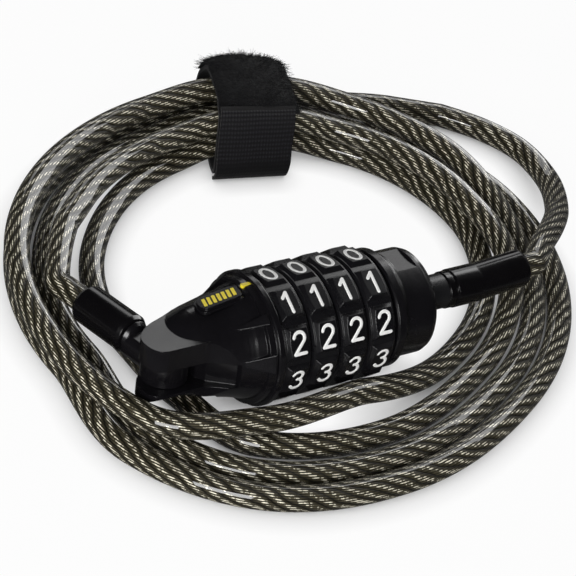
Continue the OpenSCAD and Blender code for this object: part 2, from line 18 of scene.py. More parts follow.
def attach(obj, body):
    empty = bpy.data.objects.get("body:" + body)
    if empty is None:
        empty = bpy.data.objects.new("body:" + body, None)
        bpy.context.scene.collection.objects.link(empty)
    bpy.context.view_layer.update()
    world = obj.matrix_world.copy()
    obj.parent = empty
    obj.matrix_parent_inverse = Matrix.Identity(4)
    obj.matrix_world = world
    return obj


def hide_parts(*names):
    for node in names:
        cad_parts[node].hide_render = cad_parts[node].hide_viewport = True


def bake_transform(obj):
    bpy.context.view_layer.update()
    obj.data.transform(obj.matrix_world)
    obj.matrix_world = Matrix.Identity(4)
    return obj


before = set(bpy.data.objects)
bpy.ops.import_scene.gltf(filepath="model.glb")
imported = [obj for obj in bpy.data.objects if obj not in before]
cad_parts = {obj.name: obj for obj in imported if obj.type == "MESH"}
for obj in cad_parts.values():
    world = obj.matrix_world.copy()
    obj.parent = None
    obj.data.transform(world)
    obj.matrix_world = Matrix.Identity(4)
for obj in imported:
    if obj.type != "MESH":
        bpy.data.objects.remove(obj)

MM = 0.001
DIALS = 4
LOG = logging.getLogger("cable_lock")
Point = tuple[float, float]
Triple = tuple[float, float, float]
Tree = bpy.types.NodeTree
Node = bpy.types.Node
Inputs = dict[str | int, object]


class Body(Enum):
    """The bodies of the frame that pieces ride on, besides the dials' wheels."""

    LOCK = "lock"
    BOLT = "bolt"
    TERMINAL = "terminal"


class Slot(Enum):
    """The record's material slots, by name."""

    MOULDED = "moulded_body"
    DIAL = "dial"
    CABLE = "cable_jacket"
    STRAP = "hook_and_loop"


# --- Small tools ---------------------------------------------------------------------


def linear(code: str) -> tuple[float, float, float, float]:
    """Turns an sRGB hex colour into linear light.

    Args:
        code: The colour, such as "#0c0b0d".

    Returns:
        Red, green, blue and an alpha of one.
    """
    parts = [int(code[i : i + 2], 16) / 255 for i in (1, 3, 5)]
    light = [c / 12.92 if c <= 0.04045 else ((c + 0.055) / 1.055) ** 2.4 for c in parts]
    return (light[0], light[1], light[2], 1.0)


def per_metre(size_mm: float) -> float:
    """Returns how often a pattern of a size in millimetres repeats in a metre."""
    return 1 / (size_mm * MM)


def feed(tree: Tree, node: Node, inputs: Inputs) -> None:
    """Gives a node's inputs their values or links.

    Args:
        tree: The tree that holds the node.
        node: The node.
        inputs: For each input, by name or number, a value, an output socket, or a node
            that stands for its first output in use.
    """
    for name, value in inputs.items():
        if isinstance(value, bpy.types.Node):
            value = next(s for s in value.outputs if s.enabled)
        if isinstance(value, bpy.types.NodeSocket):
            tree.links.new(value, node.inputs[name])
        else:
            node.inputs[name].default_value = value


def add_node(tree: Tree, kind: str, inputs: Inputs | None = None, **settings: object) -> Node:
    """Adds a node with its settings and its inputs' values or links.

    Args:
        tree: The tree that gets the node.
        kind: The node's type name, without its first word.
        inputs: What its inputs get, as feed takes it.
        settings: The node's own properties.

    Returns:
        The new node.
    """
    node = tree.nodes.new("ShaderNode" + kind)
    for name, value in settings.items():
        setattr(node, name, value)
    feed(tree, node, inputs or {})
    return node


def smoothstep(u: float) -> float:
    """Rises from 0 to 1 with level ends as u goes from 0 to 1."""
    u = min(1.0, max(0.0, u))
    return u * u * (3 - 2 * u)


def between(a: Vector, b: Vector, c: Vector, d: Vector, u: float) -> Vector:
    """Returns the point at u, 0 to 1, from b to c on a smooth line through four points."""
    bend = (2 * a - 5 * b + 4 * c - d) * u * u
    return (2 * b + (c - a) * u + bend + (3 * b - a - 3 * c + d) * u**3) / 2


def through(points: list[Vector], steps: int) -> list[Vector]:
    """Returns a smooth line through chosen points.

    Args:
        points: The points to pass, in order.
        steps: Pieces between each pair.

    Returns:
        The line's points, both ends among them.
    """
    line = []
    for i in range(len(points) - 1):
        four = (points[max(i - 1, 0)], *points[i : i + 2], points[min(i + 2, len(points) - 1)])
        line += [between(*four, k / steps) for k in range(steps)]
    return line + [points[-1]]


def next_row(
    bm: bmesh.types.BMesh, row: list[bmesh.types.BMVert], edges: list[bmesh.types.BMEdge]
) -> tuple[list[bmesh.types.BMVert], list[bmesh.types.BMEdge]]:
    """Extrudes a row of edges, with the new row still on the old one.

    Args:
        bm: The bmesh that holds the row.
        row: The row's vertices.
        edges: The row's edges.

    Returns:
        The new vertices, in the order of the old ones, and the new edges.
    """
    grown = bmesh.ops.extrude_edge_only(bm, edges=edges)["geom"]
    fresh = {g for g in grown if isinstance(g, bmesh.types.BMVert)}
    mates = [next(e.other_vert(v) for e in v.link_edges if e.other_vert(v) in fresh) for v in row]
    return mates, [g for g in grown if isinstance(g, bmesh.types.BMEdge)]


def round_pen(name: str, radius: float, steps: int) -> bpy.types.Curve:
    """Returns an empty curve that draws round strokes.

    Args:
        name: The curve's name.
        radius: The strokes' radius.
        steps: The curve's bevel resolution.

    Returns:
        The curve.
    """
    curve = bpy.data.curves.new(name, "CURVE")
    curve.dimensions = "3D"
    curve.bevel_depth = radius
    curve.bevel_resolution = steps
    return curve


def add_strokes(bm: bmesh.types.BMesh, curve: bpy.types.Curve, place: Matrix) -> None:
    """Adds a curve's strokes to a bmesh.

    Args:
        bm: The bmesh that gets them.
        curve: The curve, which stays.
        place: Where they go.
    """
    maker = bpy.data.objects.new(curve.name, curve)
    mesh = bpy.data.meshes.new_from_object(maker)
    mesh.transform(place)
    bm.from_mesh(mesh)
    bpy.data.objects.remove(maker)
    bpy.data.meshes.remove(mesh)


def finish_mesh(
    name: str, bm: bmesh.types.BMesh, place: Matrix, finish: "Finish", sharp: float = 35.0
) -> bpy.types.Object:
    """Turns a bmesh in millimetres into a placed, smooth shaded piece in metres.

    Args:
        name: The piece's name.
        bm: The finished shape, which is freed.
        place: Where the shape goes in the frame, in millimetres.
        finish: The piece's finish.
        sharp: The angle in degrees past which an edge stays sharp.

    Returns:
        The new object, at the origin, with its place in its mesh.
    """
    bmesh.ops.transform(bm, matrix=Matrix.Scale(MM, 4) @ place, verts=bm.verts)
    bmesh.ops.recalc_face_normals(bm, faces=bm.faces)
    mesh = bpy.data.meshes.new(name)
    bm.to_mesh(mesh)
    bm.free()
    mesh.shade_smooth()
    mesh.set_sharp_from_angle(angle=math.radians(sharp))
    mesh.materials.append(finish.material())
    piece = bpy.data.objects.new(name, mesh)
    bpy.context.scene.collection.objects.link(piece)
    return piece


# --- Finishes ------------------------------------------------------------------------


@dataclass(frozen=True)
class Finish:
    """A named finish that makes its material once."""

    name: str

    def material(self) -> bpy.types.Material:
        """Returns the material, and makes it on the first call.

        Returns:
            The material.
        """
        known = bpy.data.materials.get(self.name)
        if known:
            return known
        made = bpy.data.materials.new(self.name)
        made.use_nodes = True
        tree = made.node_tree
        feed(tree, tree.nodes["Principled BSDF"], self.dress(tree))
        return made

    def dress(self, tree: Tree) -> Inputs:
        """Adds the finish's pattern nodes.

        Args:
            tree: The material's node tree.

        Returns:
            What the Principled shader's inputs get.
        """
        raise NotImplementedError


@dataclass(frozen=True)
class MouldedPlastic(Finish):
    """Glass-filled nylon or ABS from a polished mould: black, with a soft sheen.

    The eye gets a faint orange-peel waviness and slightly duller, paler rubbed places.
    """

    colour: str = "#0b0a0c"
    rubbed: str = "#161518"
    roughness: float = 0.17
    roughness_spread: float = 0.08
    ior: float = 1.5
    peel_mm: float = 1.6
    peel_depth_mm: float = 0.008
    peel_detail: float = 2.0
    rub_mm: float = 9.0
    rub_detail: float = 5.0
    rub_grain: float = 0.62
    rub_range: Point = (0.3, 0.7)
    edge_mm: float = 0.22
    edge_samples: int = 6

    def dress(self, tree: Tree) -> Inputs:
        """Adds the plastic's waviness, its rubbed places and its soft edges.

        Args:
            tree: The material's node tree.

        Returns:
            What the Principled shader's inputs get.
        """
        where = add_node(tree, "TexCoord").outputs["Object"]
        rub = add_node(tree, "TexNoise", {
            "Vector": where, "Scale": per_metre(self.rub_mm), "Detail": self.rub_detail,
            "Roughness": self.rub_grain,
        })
        peel = add_node(tree, "TexNoise", {
            "Vector": where, "Scale": per_metre(self.peel_mm), "Detail": self.peel_detail,
        })
        tone = add_node(tree, "Mix", {
            "Factor": rub, 6: linear(self.colour), 7: linear(self.rubbed),
        }, data_type="RGBA")
        gloss = add_node(tree, "MapRange", {
            "Value": rub, "From Min": self.rub_range[0], "From Max": self.rub_range[1],
            "To Min": self.roughness, "To Max": self.roughness + self.roughness_spread,
        })
        edge = add_node(tree, "Bevel", {"Radius": self.edge_mm * MM}, samples=self.edge_samples)
        bump = add_node(tree, "Bump", {
            "Height": peel, "Distance": self.peel_depth_mm * MM, "Normal": edge,
        })
        return {"Base Color": tone, "Roughness": gloss, "IOR": self.ior, "Normal": bump}


@dataclass(frozen=True)
class PrintedInk(Finish):
    """Pad-printed ink: flat and even, with a slightly thin, speckled skin."""

    colour: str = "#f4f4f2"
    thin: str = "#dddcd9"
    roughness: float = 0.45
    speck_mm: float = 0.25
    speck_depth_mm: float = 0.01
    speck_detail: float = 3.0
    speck_range: Point = (0.55, 0.8)

    def dress(self, tree: Tree) -> Inputs:
        """Adds the ink's speckle.

        Args:
            tree: The material's node tree.

        Returns:
            What the Principled shader's inputs get.
        """
        where = add_node(tree, "TexCoord").outputs["Object"]
        speck = add_node(tree, "TexNoise", {
            "Vector": where, "Scale": per_metre(self.speck_mm), "Detail": self.speck_detail,
        })
        cover = add_node(tree, "MapRange", {
            "Value": speck, "From Min": self.speck_range[0], "From Max": self.speck_range[1],
        })
        tone = add_node(tree, "Mix", {
            "Factor": cover, 6: linear(self.colour), 7: linear(self.thin),
        }, data_type="RGBA")
        bump = add_node(tree, "Bump", {"Height": speck, "Distance": self.speck_depth_mm * MM})
        return {"Base Color": tone, "Roughness": self.roughness, "Normal": bump}


@dataclass(frozen=True)
class TurnedMetal(Finish):
    """Metal turned on a lathe: fine rings round the lock's axis and small dull marks."""

    colour: str = "#b9b7b0"
    dull: str = "#8e8c86"
    roughness: float = 0.28
    roughness_spread: float = 0.15
    ring_mm: float = 0.5
    ring_depth_mm: float = 0.006
    ring_stray: float = 0.6
    ring_detail: float = 1.0
    # a wave texture's rings stand this far apart at a scale of one
    wave_unit: float = 0.314
    mark_mm: float = 2.5
    mark_detail: float = 4.0

    def dress(self, tree: Tree) -> Inputs:
        """Adds the metal's turning rings and dull marks.

        Args:
            tree: The material's node tree.

        Returns:
            What the Principled shader's inputs get.
        """
        where = add_node(tree, "TexCoord").outputs["Object"]
        rings = add_node(tree, "TexWave", {
            "Vector": where, "Scale": self.wave_unit / (self.ring_mm * MM),
            "Distortion": self.ring_stray, "Detail": self.ring_detail,
        }, bands_direction="X")
        marks = add_node(tree, "TexNoise", {
            "Vector": where, "Scale": per_metre(self.mark_mm), "Detail": self.mark_detail,
        })
        tone = add_node(tree, "Mix", {
            "Factor": marks, 6: linear(self.colour), 7: linear(self.dull),
        }, data_type="RGBA")
        gloss = add_node(tree, "MapRange", {
            "Value": marks, "To Min": self.roughness,
            "To Max": self.roughness + self.roughness_spread,
        })
        bump = add_node(tree, "Bump", {
            "Height": rings.outputs["Fac"], "Distance": self.ring_depth_mm * MM,
        })
        return {"Base Color": tone, "Roughness": gloss, "Metallic": 1.0, "Normal": bump}


@dataclass(frozen=True)
class ClearJacket(Finish):
    """Smoky clear PVC over a laid steel rope: olive wires, with painted shade in the grooves, under a
    wet gloss.

    The rope's strands slant round the cable and each wire on a strand's crown runs
    along the cable; its glint is painted in as a short bright dash. The jacket magnifies
    the rope, so the strands are drawn at the width that they seem to have.
    """

    # painted shade: the dark colour painted in the grooves between strands and wires
    painted_groove_shade: str = "#15130e"
    wire: str = "#4e4939"
    # painted highlight: the colour of the wires' glints
    painted_glint: str = "#f8f2dc"
    metallic: float = 0.12
    roughness: float = 0.42
    specular: float = 0.15
    coat_roughness: float = 0.03
    coat_ior: float = 1.52
    strands: int = 8
    strand_mm: float = 5.0
    wires: int = 34
    wire_lay_mm: float = 60.0
    jacket_r_mm: float = 3.0
    strand_depth_mm: float = 0.34
    wire_depth_mm: float = 0.1
    ridge_power: float = 0.7
    crest_power: float = 1.1
    wire_power: float = 1.2
    dash_power: float = 3.5
    tone_range: Point = (0.1, 0.85)
    # painted highlight: the mask's range that the glints are painted over
    painted_glint_range: Point = (0.28, 0.46)
    # noise scales, as repeats in one radius of the jacket
    waver_scale: float = 0.45
    waver_detail: float = 1.0
    chance_scale: float = 3.4
    chance_detail: float = 2.0
    chance_grain: float = 0.6
    chance_from: Point = (0.3, 0.7)
    chance_to: Point = (0.15, 0.88)

    def ridges(self, tree: Tree, route: Node, around: int, along_mm: float, waver: Node) -> Node:
        """Draws equal ridges that wind round the cable.

        Args:
            tree: The material's node tree.
            route: The place round the cable, 0 to 1, and along it in millimetres.
            around: How many ridges there are in one turn.
            along_mm: Length along the cable from one ridge to the next.
            waver: How far the ridges stray, in ridges.

        Returns:
            A node that is 0 between two ridges and 1 on a crown.
        """
        pace = {0: route, 1: (around, 1 / along_mm, 0)}
        phase = add_node(tree, "VectorMath", pace, operation="DOT_PRODUCT")
        phase = add_node(tree, "Math", {0: waver, 1: phase}, operation="ADD")
        fold = add_node(tree, "Math", {0: phase, 1: 0.5}, operation="PINGPONG")
        off = add_node(tree, "Math", {0: fold, 1: -2.0, 2: 1.0}, operation="MULTIPLY_ADD")
        square = add_node(tree, "Math", {0: off, 1: off}, operation="MULTIPLY")
        left = add_node(tree, "Math", {0: 1.0, 1: square}, operation="SUBTRACT")
        return add_node(tree, "Math", {0: left, 1: self.ridge_power}, operation="POWER")

    def straight(self, tree: Tree, route: Node) -> Node:
        """Lays the cable out straight, so that noise on it has no seam.

        Args:
            tree: The material's node tree.
            route: The place round the cable, 0 to 1, and along it in millimetres.

        Returns:
            A node with the place on the straight cable, in radii of the jacket.
        """
        split = add_node(tree, "SeparateXYZ", {0: route}).outputs
        turn = add_node(tree, "Math", {0: split["X"], 1: 2 * math.pi}, operation="MULTIPLY")
        reach = {0: split["Y"], 1: 1 / self.jacket_r_mm}
        return add_node(tree, "CombineXYZ", {
            "X": add_node(tree, "Math", {0: turn}, operation="COSINE"),
            "Y": add_node(tree, "Math", {0: turn}, operation="SINE"),
            "Z": add_node(tree, "Math", reach, operation="MULTIPLY"),
        })

    def dress(self, tree: Tree) -> Inputs:
        """Draws the strands and wires under the jacket's gloss, with painted shade in the grooves and
        painted glints.

        Args:
            tree: The material's node tree.

        Returns:
            What the Principled shader's inputs get.
        """
        route = add_node(tree, "UVMap", uv_map="route")
        straight = self.straight(tree, route)
        waver = add_node(tree, "TexNoise", {
            "Vector": straight, "Scale": self.waver_scale, "Detail": self.waver_detail,
        })
        crown = self.ridges(tree, route, self.strands, self.strand_mm, waver)
        ridge = self.ridges(tree, route, self.wires, self.wire_lay_mm, waver)
        # painted shade: the grooves between strands and wires are painted dark and the crowns pale
        crest = add_node(tree, "Math", {0: crown, 1: self.crest_power}, operation="POWER")
        sharp = add_node(tree, "Math", {0: ridge, 1: self.wire_power}, operation="POWER")
        lit = add_node(tree, "Math", {0: crest, 1: sharp}, operation="MULTIPLY")
        faded = add_node(tree, "MapRange", {
            "Value": lit, "From Min": self.tone_range[0], "From Max": self.tone_range[1],
        })
        tone = add_node(tree, "Mix", {
            "Factor": faded, 6: linear(self.painted_groove_shade), 7: linear(self.wire),
        }, data_type="RGBA")
        chance = add_node(tree, "TexNoise", {
            "Vector": straight, "Scale": self.chance_scale, "Detail": self.chance_detail,
            "Roughness": self.chance_grain,
        })
        chance = add_node(tree, "MapRange", {
            "Value": chance, "From Min": self.chance_from[0], "From Max": self.chance_from[1],
            "To Min": self.chance_to[0], "To Max": self.chance_to[1],
        })
        # painted highlight: where a wire crosses a strand's crown, its glint is painted as a short
        # bright dash
        dash = add_node(tree, "Math", {0: crown, 1: ridge}, operation="MULTIPLY")
        dash = add_node(tree, "Math", {0: dash, 1: self.dash_power}, operation="POWER")
        painted_glint_mask = add_node(tree, "Math", {0: dash, 1: chance}, operation="MULTIPLY")
        painted_glint_mask = add_node(tree, "MapRange", {
            "Value": painted_glint_mask, "From Min": self.painted_glint_range[0], "From Max": self.painted_glint_range[1],
        })
        tone = add_node(tree, "Mix", {
            "Factor": painted_glint_mask, 6: tone, 7: linear(self.painted_glint),
        }, data_type="RGBA")
        height = add_node(tree, "Math", {
            0: ridge, 1: self.wire_depth_mm / self.strand_depth_mm, 2: crown,
        }, operation="MULTIPLY_ADD")
        bump = add_node(tree, "Bump", {"Height": height, "Distance": self.strand_depth_mm * MM})
        return {
            "Base Color": tone,
            "Metallic": self.metallic,
            "Roughness": self.roughness,
            "Specular IOR Level": self.specular,
            "Coat Weight": 1.0,
            "Coat Roughness": self.coat_roughness,
            "Coat IOR": self.coat_ior,
            "Normal": bump,
        }


@dataclass(frozen=True)
class WovenTape(Finish):
    """Black nylon tape: ribs of tiny hooks across it on one stretch, plain weave elsewhere."""

    colour: str = "#060507"
    # painted light: the paler colour painted on raised rows and stitches
    lit_raised_thread: str = "#1f1e23"
    roughness: float = 0.72
    specular: float = 0.25
    sheen: float = 0.08
    sheen_roughness: float = 0.5
    row_mm: float = 1.05
    stitch_mm: float = 0.8
    # how much a row's height changes from stitch to stitch, and its least height
    stitch_share: float = 1.4
    stitch_least: float = 0.6
    knot_height: float = 1.5
    depth_mm: float = 0.3
    hooks_from_mm: float = 0.0
    hooks_to_mm: float = 1000.0
    hooks_start_mm: float = 1.0
    hooks_stop_mm: float = 2.5
    hooks_left: float = 0.12
    # repeats of the fine thread in a millimetre
    thread_scale: float = 2.2
    thread_detail: float = 3.0
    thread_share: float = 0.3
    tone_range: Point = (0.15, 1.1)

    def dress(self, tree: Tree) -> Inputs:
        """Draws the tape's rows and weave, with painted shade: darker in its low places, paler on raised
        rows and stitches.

        Args:
            tree: The material's node tree.

        Returns:
            What the Principled shader's inputs get.
        """
        cloth = add_node(tree, "UVMap", uv_map="route")
        split = add_node(tree, "SeparateXYZ", {0: cloth}).outputs
        row, stitch = (
            add_node(tree, "Math", {
                0: add_node(tree, "Math", {0: split[way], 1: 1 / size}, operation="MULTIPLY"),
                1: 0.5,
            }, operation="PINGPONG")
            for way, size in (("X", self.row_mm), ("Y", self.stitch_mm))
        )
        stitch = add_node(tree, "Math", {
            0: stitch, 1: self.stitch_share, 2: self.stitch_least,
        }, operation="MULTIPLY_ADD")
        knots = add_node(tree, "Math", {0: row, 1: stitch}, operation="MULTIPLY")
        knots = add_node(tree, "Math", {0: knots, 1: self.knot_height}, operation="MULTIPLY")
        fine = add_node(tree, "TexNoise", {
            "Vector": cloth, "Scale": self.thread_scale, "Detail": self.thread_detail,
        })
        begin = add_node(tree, "MapRange", {
            "Value": split["X"], "From Min": self.hooks_from_mm,
            "From Max": self.hooks_from_mm + self.hooks_start_mm,
        })
        end = add_node(tree, "MapRange", {
            "Value": split["X"], "From Min": self.hooks_to_mm,
            "From Max": self.hooks_to_mm + self.hooks_stop_mm,
            "To Min": 1.0, "To Max": self.hooks_left,
        })
        share = add_node(tree, "Math", {0: begin, 1: end}, operation="MULTIPLY")
        rows = add_node(tree, "Math", {0: knots, 1: share}, operation="MULTIPLY")
        height = add_node(tree, "Math", {
            0: fine, 1: self.thread_share, 2: rows,
        }, operation="MULTIPLY_ADD")
        # painted shade: the tape's colour follows its height, darker low and paler high
        tone = add_node(tree, "MapRange", {
            "Value": height, "From Min": self.tone_range[0], "From Max": self.tone_range[1],
        })
        shade = add_node(tree, "Mix", {
            "Factor": tone, 6: linear(self.colour), 7: linear(self.lit_raised_thread),
        }, data_type="RGBA")
        bump = add_node(tree, "Bump", {"Height": height, "Distance": self.depth_mm * MM})
        return {
            "Base Color": shade,
            "Roughness": self.roughness,
            "Specular IOR Level": self.specular,
            "Sheen Weight": self.sheen,
            "Sheen Roughness": self.sheen_roughness,
            "Normal": bump,
        }


@dataclass(frozen=True)
class LoopPile(Finish):
    """Brushed nylon loops: matt black fibres with a soft halo where the light grazes."""

    colour: str = "#060608"
    tip: str = "#121215"
    roughness: float = 0.85
    specular: float = 0.2
    sheen: float = 0.06
    sheen_roughness: float = 0.6
    fibre_mm: float = 0.7
    fibre_depth_mm: float = 0.4
    fibre_detail: float = 4.0
    fibre_grain: float = 0.7

    def dress(self, tree: Tree) -> Inputs:
        """Adds the pile's uneven tone.

        Args:
            tree: The material's node tree.

        Returns:
            What the Principled shader's inputs get.
        """
        where = add_node(tree, "TexCoord").outputs["Object"]
        tuft = add_node(tree, "TexNoise", {
            "Vector": where, "Scale": per_metre(self.fibre_mm), "Detail": self.fibre_detail,
            "Roughness": self.fibre_grain,
        })
        tone = add_node(tree, "Mix", {
            "Factor": tuft, 6: linear(self.colour), 7: linear(self.tip),
        }, data_type="RGBA")
        bump = add_node(tree, "Bump", {"Height": tuft, "Distance": self.fibre_depth_mm * MM})
        return {
            "Base Color": tone,
            "Roughness": self.roughness,
            "Specular IOR Level": self.specular,
            "Sheen Weight": self.sheen,
            "Sheen Roughness": self.sheen_roughness,
            "Normal": bump,
        }


NYLON = MouldedPlastic("black_nylon_body")
CAP_PLASTIC = MouldedPlastic("black_nylon_collar", roughness=0.2)
DIAL_PLASTIC = MouldedPlastic("satin_abs_dial", colour="#0c0c0e", roughness=0.24, peel_mm=0.8)
VINYL = MouldedPlastic(
    "dipped_vinyl_sleeve", colour="#090809", rubbed="#100f11", roughness=0.12, peel_mm=3.0
)
BOLT_COAT = MouldedPlastic(
    "blackened_steel_bolt", colour="#141416", rubbed="#242426", roughness=0.24, peel_mm=0.6
)
WHITE_INK = PrintedInk("white_dial_ink")
YELLOW_INK = PrintedInk("yellow_mark_ink", colour="#ecd834", thin="#cdb524")
BRASS = TurnedMetal("turned_brass", colour="#c2a35a", dull="#94783c")
STEEL = TurnedMetal("bright_steel")
JACKET = ClearJacket("clear_jacket_over_strands")
BAND_TAPE = WovenTape(
    "plain_strap_tape", row_mm=0.9, stitch_mm=0.7, depth_mm=0.12, hooks_to_mm=0.0
)
HOOK_TAPE = WovenTape("hook_strap_tape", hooks_from_mm=0.8, hooks_to_mm=13.0)
PILE = LoopPile("brushed_loop_pile")


# --- The lock head's frame -----------------------------------------------------------


@dataclass
class HeadPlace:
    """Where the lock head lies: its axis along X, rolled a little, above the floor."""

    frame_x: float = 6.97685
    frame_y: float = 5.46818
    axis_h: float = 15.5
    roll: float = 10.0

    def tilt(self) -> Matrix:
        """Returns the head's roll about its axis."""
        return Matrix.Rotation(math.radians(-self.roll), 4, "X")

    def lock(self) -> Matrix:
        """Returns the lock's own frame, its axis along X and its crown along Z."""
        return self.floor() @ Matrix.Translation((0, 0, self.axis_h)) @ self.tilt()

    def floor(self) -> Matrix:
        """Returns the frame that is level, under the middle of the dials."""
        return Matrix.Translation((-self.frame_x, -self.frame_y, 0))


# --- Numbers and marks ---------------------------------------------------------------


def arc(
    cx: float, cy: float, rx: float, ry: float, start: float, end: float, steps: int
) -> list[Point]:
    """Points of an elliptical arc.

    Args:
        cx: Middle, across.
        cy: Middle, up.
        rx: Half width.
        ry: Half height.
        start: First angle in degrees, from the right, anticlockwise.
        end: Last angle.
        steps: How many chords.

    Returns:
        The points in order.
    """
    turns = [math.radians(start + (end - start) * i / steps) for i in range(steps + 1)]
    return [(cx + rx * math.cos(t), cy + ry * math.sin(t)) for t in turns]


@dataclass
class NumberStyle:
    """Plain rounded numbers drawn with one pen, each stroke a line in a unit box."""

    width: float = 3.1
    height: float = 4.9
    pen: float = 0.8
    pen_steps: int = 2
    raise_mm: float = 0.11
    # how far past a stroke's end the pen goes, and its radius there, in half pens
    round_end: tuple[Point, ...] = ((1.0, 0.05), (0.87, 0.5), (0.5, 0.87))

    def strokes(self, digit: int) -> list[list[Point]]:
        """Returns the pen strokes of a digit, in a box one wide and one high.

        Args:
            digit: The number from 0 to 9.

        Returns:
            A list of strokes, each a list of points.
        """
        bowl = arc(0.52, 0.32, 0.46, 0.32, 90, 450, 22)
        six = [bowl, [(0.84, 0.97)] + arc(0.66, 0.42, 0.6, 0.56, 100, 190, 8)]
        swan = arc(0.5, 0.72, 0.44, 0.28, 170, -30, 12) + [(0.6, 0.38), (0.06, 0.0)]
        belly = [(0.14, 0.56)] + arc(0.48, 0.3, 0.46, 0.31, 118, -150, 14)
        shapes = {
            0: [arc(0.5, 0.5, 0.46, 0.5, 90, 450, 26)],
            1: [[(0.16, 0.74), (0.56, 1.0)], [(0.56, 1.0), (0.56, 0.0)]],
            2: [swan, [(0.06, 0.0), (0.96, 0.0)]],
            3: [arc(0.48, 0.76, 0.4, 0.24, 160, -80, 12), arc(0.48, 0.27, 0.46, 0.27, 88, -155, 14)],
            4: [[(0.7, 0.0), (0.7, 1.0), (0.04, 0.3), (0.98, 0.3)]],
            5: [[(0.88, 1.0), (0.2, 1.0), (0.14, 0.56)], belly],
            6: six,
            7: [[(0.04, 1.0), (0.96, 1.0)], [(0.96, 1.0), (0.36, 0.0)]],
            8: [arc(0.5, 0.76, 0.38, 0.24, 90, 450, 20), arc(0.5, 0.27, 0.46, 0.27, 90, 450, 22)],
            9: [[(1 - x, 1 - y) for x, y in stroke] for stroke in six],
        }
        return shapes[digit]

    def draw(self, digit: int, into: bpy.types.Curve) -> None:
        """Adds a digit's strokes to a curve, with rounded stroke ends.

        Args:
            digit: The number from 0 to 9.
            into: The curve that gets the strokes, in the digit's own plane.
        """
        for stroke in self.strokes(digit):
            line = [Vector(((x - 0.5) * self.width, (y - 0.5) * self.height, 0)) for x, y in stroke]
            first = (line[0] - line[1]).normalized() * self.pen / 2
            last = (line[-1] - line[-2]).normalized() * self.pen / 2
            points = [(line[0] + first * t, r) for t, r in self.round_end]
            points += [(p, 1.0) for p in line]
            points += [(line[-1] + last * t, r) for t, r in reversed(self.round_end)]
            spline = into.splines.new("POLY")
            spline.points.add(len(points) - 1)
            for spot, (p, r) in zip(spline.points, points):
                spot.co = (*p, 1.0)
                spot.radius = r


@dataclass
class NumberDial:
    """One dial: its own CAD solid, with ten printed numbers standing on its pads."""

    index: int
    head: HeadPlace
    style: NumberStyle
    pitch: float = 7.5
    radius: float = 15.3
    pad_flat: float = 24.0
    phase: float = -6.0
    count: int = 10

    def build(self) -> bpy.types.Object:
        """Prints the numbers on the dial.

        Returns:
            The numbers' piece, which rides with the dial.
        """
        name = f"dial_{self.index}_numbers"
        x = (self.index - (DIALS + 1) / 2) * self.pitch
        flat_r = self.radius * math.cos(math.radians(self.pad_flat / 2))
        curve = round_pen(name, self.style.pen / 2, self.style.pen_steps)
        flatten = Matrix.Diagonal((1, 1, self.style.raise_mm / (self.style.pen / 2), 1))
        bm = bmesh.new()
        for digit in range(self.count):
            curve.splines.clear()
            self.style.draw(digit, curve)
            turn = math.radians(self.phase + digit * 360 / self.count)
            # a digit's plane lies on its pad, with its top towards the number before it
            pad = Matrix.Rotation(turn, 4, "X") @ Matrix.Translation((x, 0, flat_r))
            add_strokes(bm, curve, pad @ flatten)
        bpy.data.curves.remove(curve)
        numbers = finish_mesh(name, bm, self.head.lock(), WHITE_INK, sharp=60.0)
        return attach(numbers, f"wheel_{self.index}")


@dataclass
class HeadMarks:
    """The yellow marks on the head: slanted bars on the crown pad and an index dash."""

    head: HeadPlace
    pad_x: float = -24.4
    pad_tilt: float = 9.5
    pad_base: float = 11.6
    pad_height: float = 1.3
    bars: int = 7
    bar_pitch: float = 1.22
    bar_size: Point = (0.78, 2.6)
    slant: float = 12.0
    # the dash is a raised block, so that it stands clear of the disc behind the flange
    dash_x: float = -18.05
    dash_r: float = 14.05
    dash_size: Point = (2.3, 0.95)
    dash_h: float = 0.74
    skin: float = 0.05
    corner: float = 0.2
    upright: float = 0.9

    def plate(self, size: Point, thick: float, place: Matrix, bm: bmesh.types.BMesh) -> None:
        """Adds a plate with rounded corners.

        Args:
            size: Its length and width.
            thick: Its thickness.
            place: Where its underside's middle goes.
            bm: The bmesh that gets it.
        """
        block = Matrix.Translation((0, 0, thick / 2)) @ Matrix.Diagonal((*size, thick, 1))
        box = bmesh.ops.create_cube(bm, size=1.0, matrix=place @ block)
        edges = {e for v in box["verts"] for e in v.link_edges}
        corners = [e for e in edges if self.stands(e, place)]
        bmesh.ops.bevel(
            bm,
            geom=corners,
            offset=min(size) * self.corner,
            segments=3,
            profile=0.5,
            affect="EDGES",
            material=-1,
        )

    def stands(self, edge: bmesh.types.BMEdge, place: Matrix) -> bool:
        """Tells whether an edge stands square to the plate."""
        way = (edge.verts[1].co - edge.verts[0].co).normalized()
        return abs(way.dot(place.to_3x3() @ Vector((0, 0, 1)))) > self.upright

    def build(self) -> list[bpy.types.Object]:
        """Makes the bars and the dash.

        Returns:
            Both pieces, riding on the lock.
        """
        pad = Matrix.Translation((self.pad_x, 0, self.pad_base))
        tilt = Matrix.Rotation(math.radians(-self.pad_tilt), 4, "Y")
        top = pad @ tilt @ Matrix.Translation((0, 0, self.pad_height))
        lean = Matrix.Rotation(math.radians(-self.slant), 4, "Z")
        bars = bmesh.new()
        for i in range(self.bars):
            shift = (i - (self.bars - 1) / 2) * self.bar_pitch
            place = top @ Matrix.Translation((shift, 0, 0)) @ lean
            self.plate(self.bar_size, self.skin, place, bars)
        dash = bmesh.new()
        behind = Matrix.Translation((self.dash_x, 0, self.dash_r))
        self.plate(self.dash_size, self.dash_h, behind, dash)
        made = [
            finish_mesh(name, bm, self.head.lock(), YELLOW_INK)
            for name, bm in (("crown_bars", bars), ("index_dash", dash))
        ]
        return [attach(p, Body.LOCK.value) for p in made]


# --- The cable -----------------------------------------------------------------------


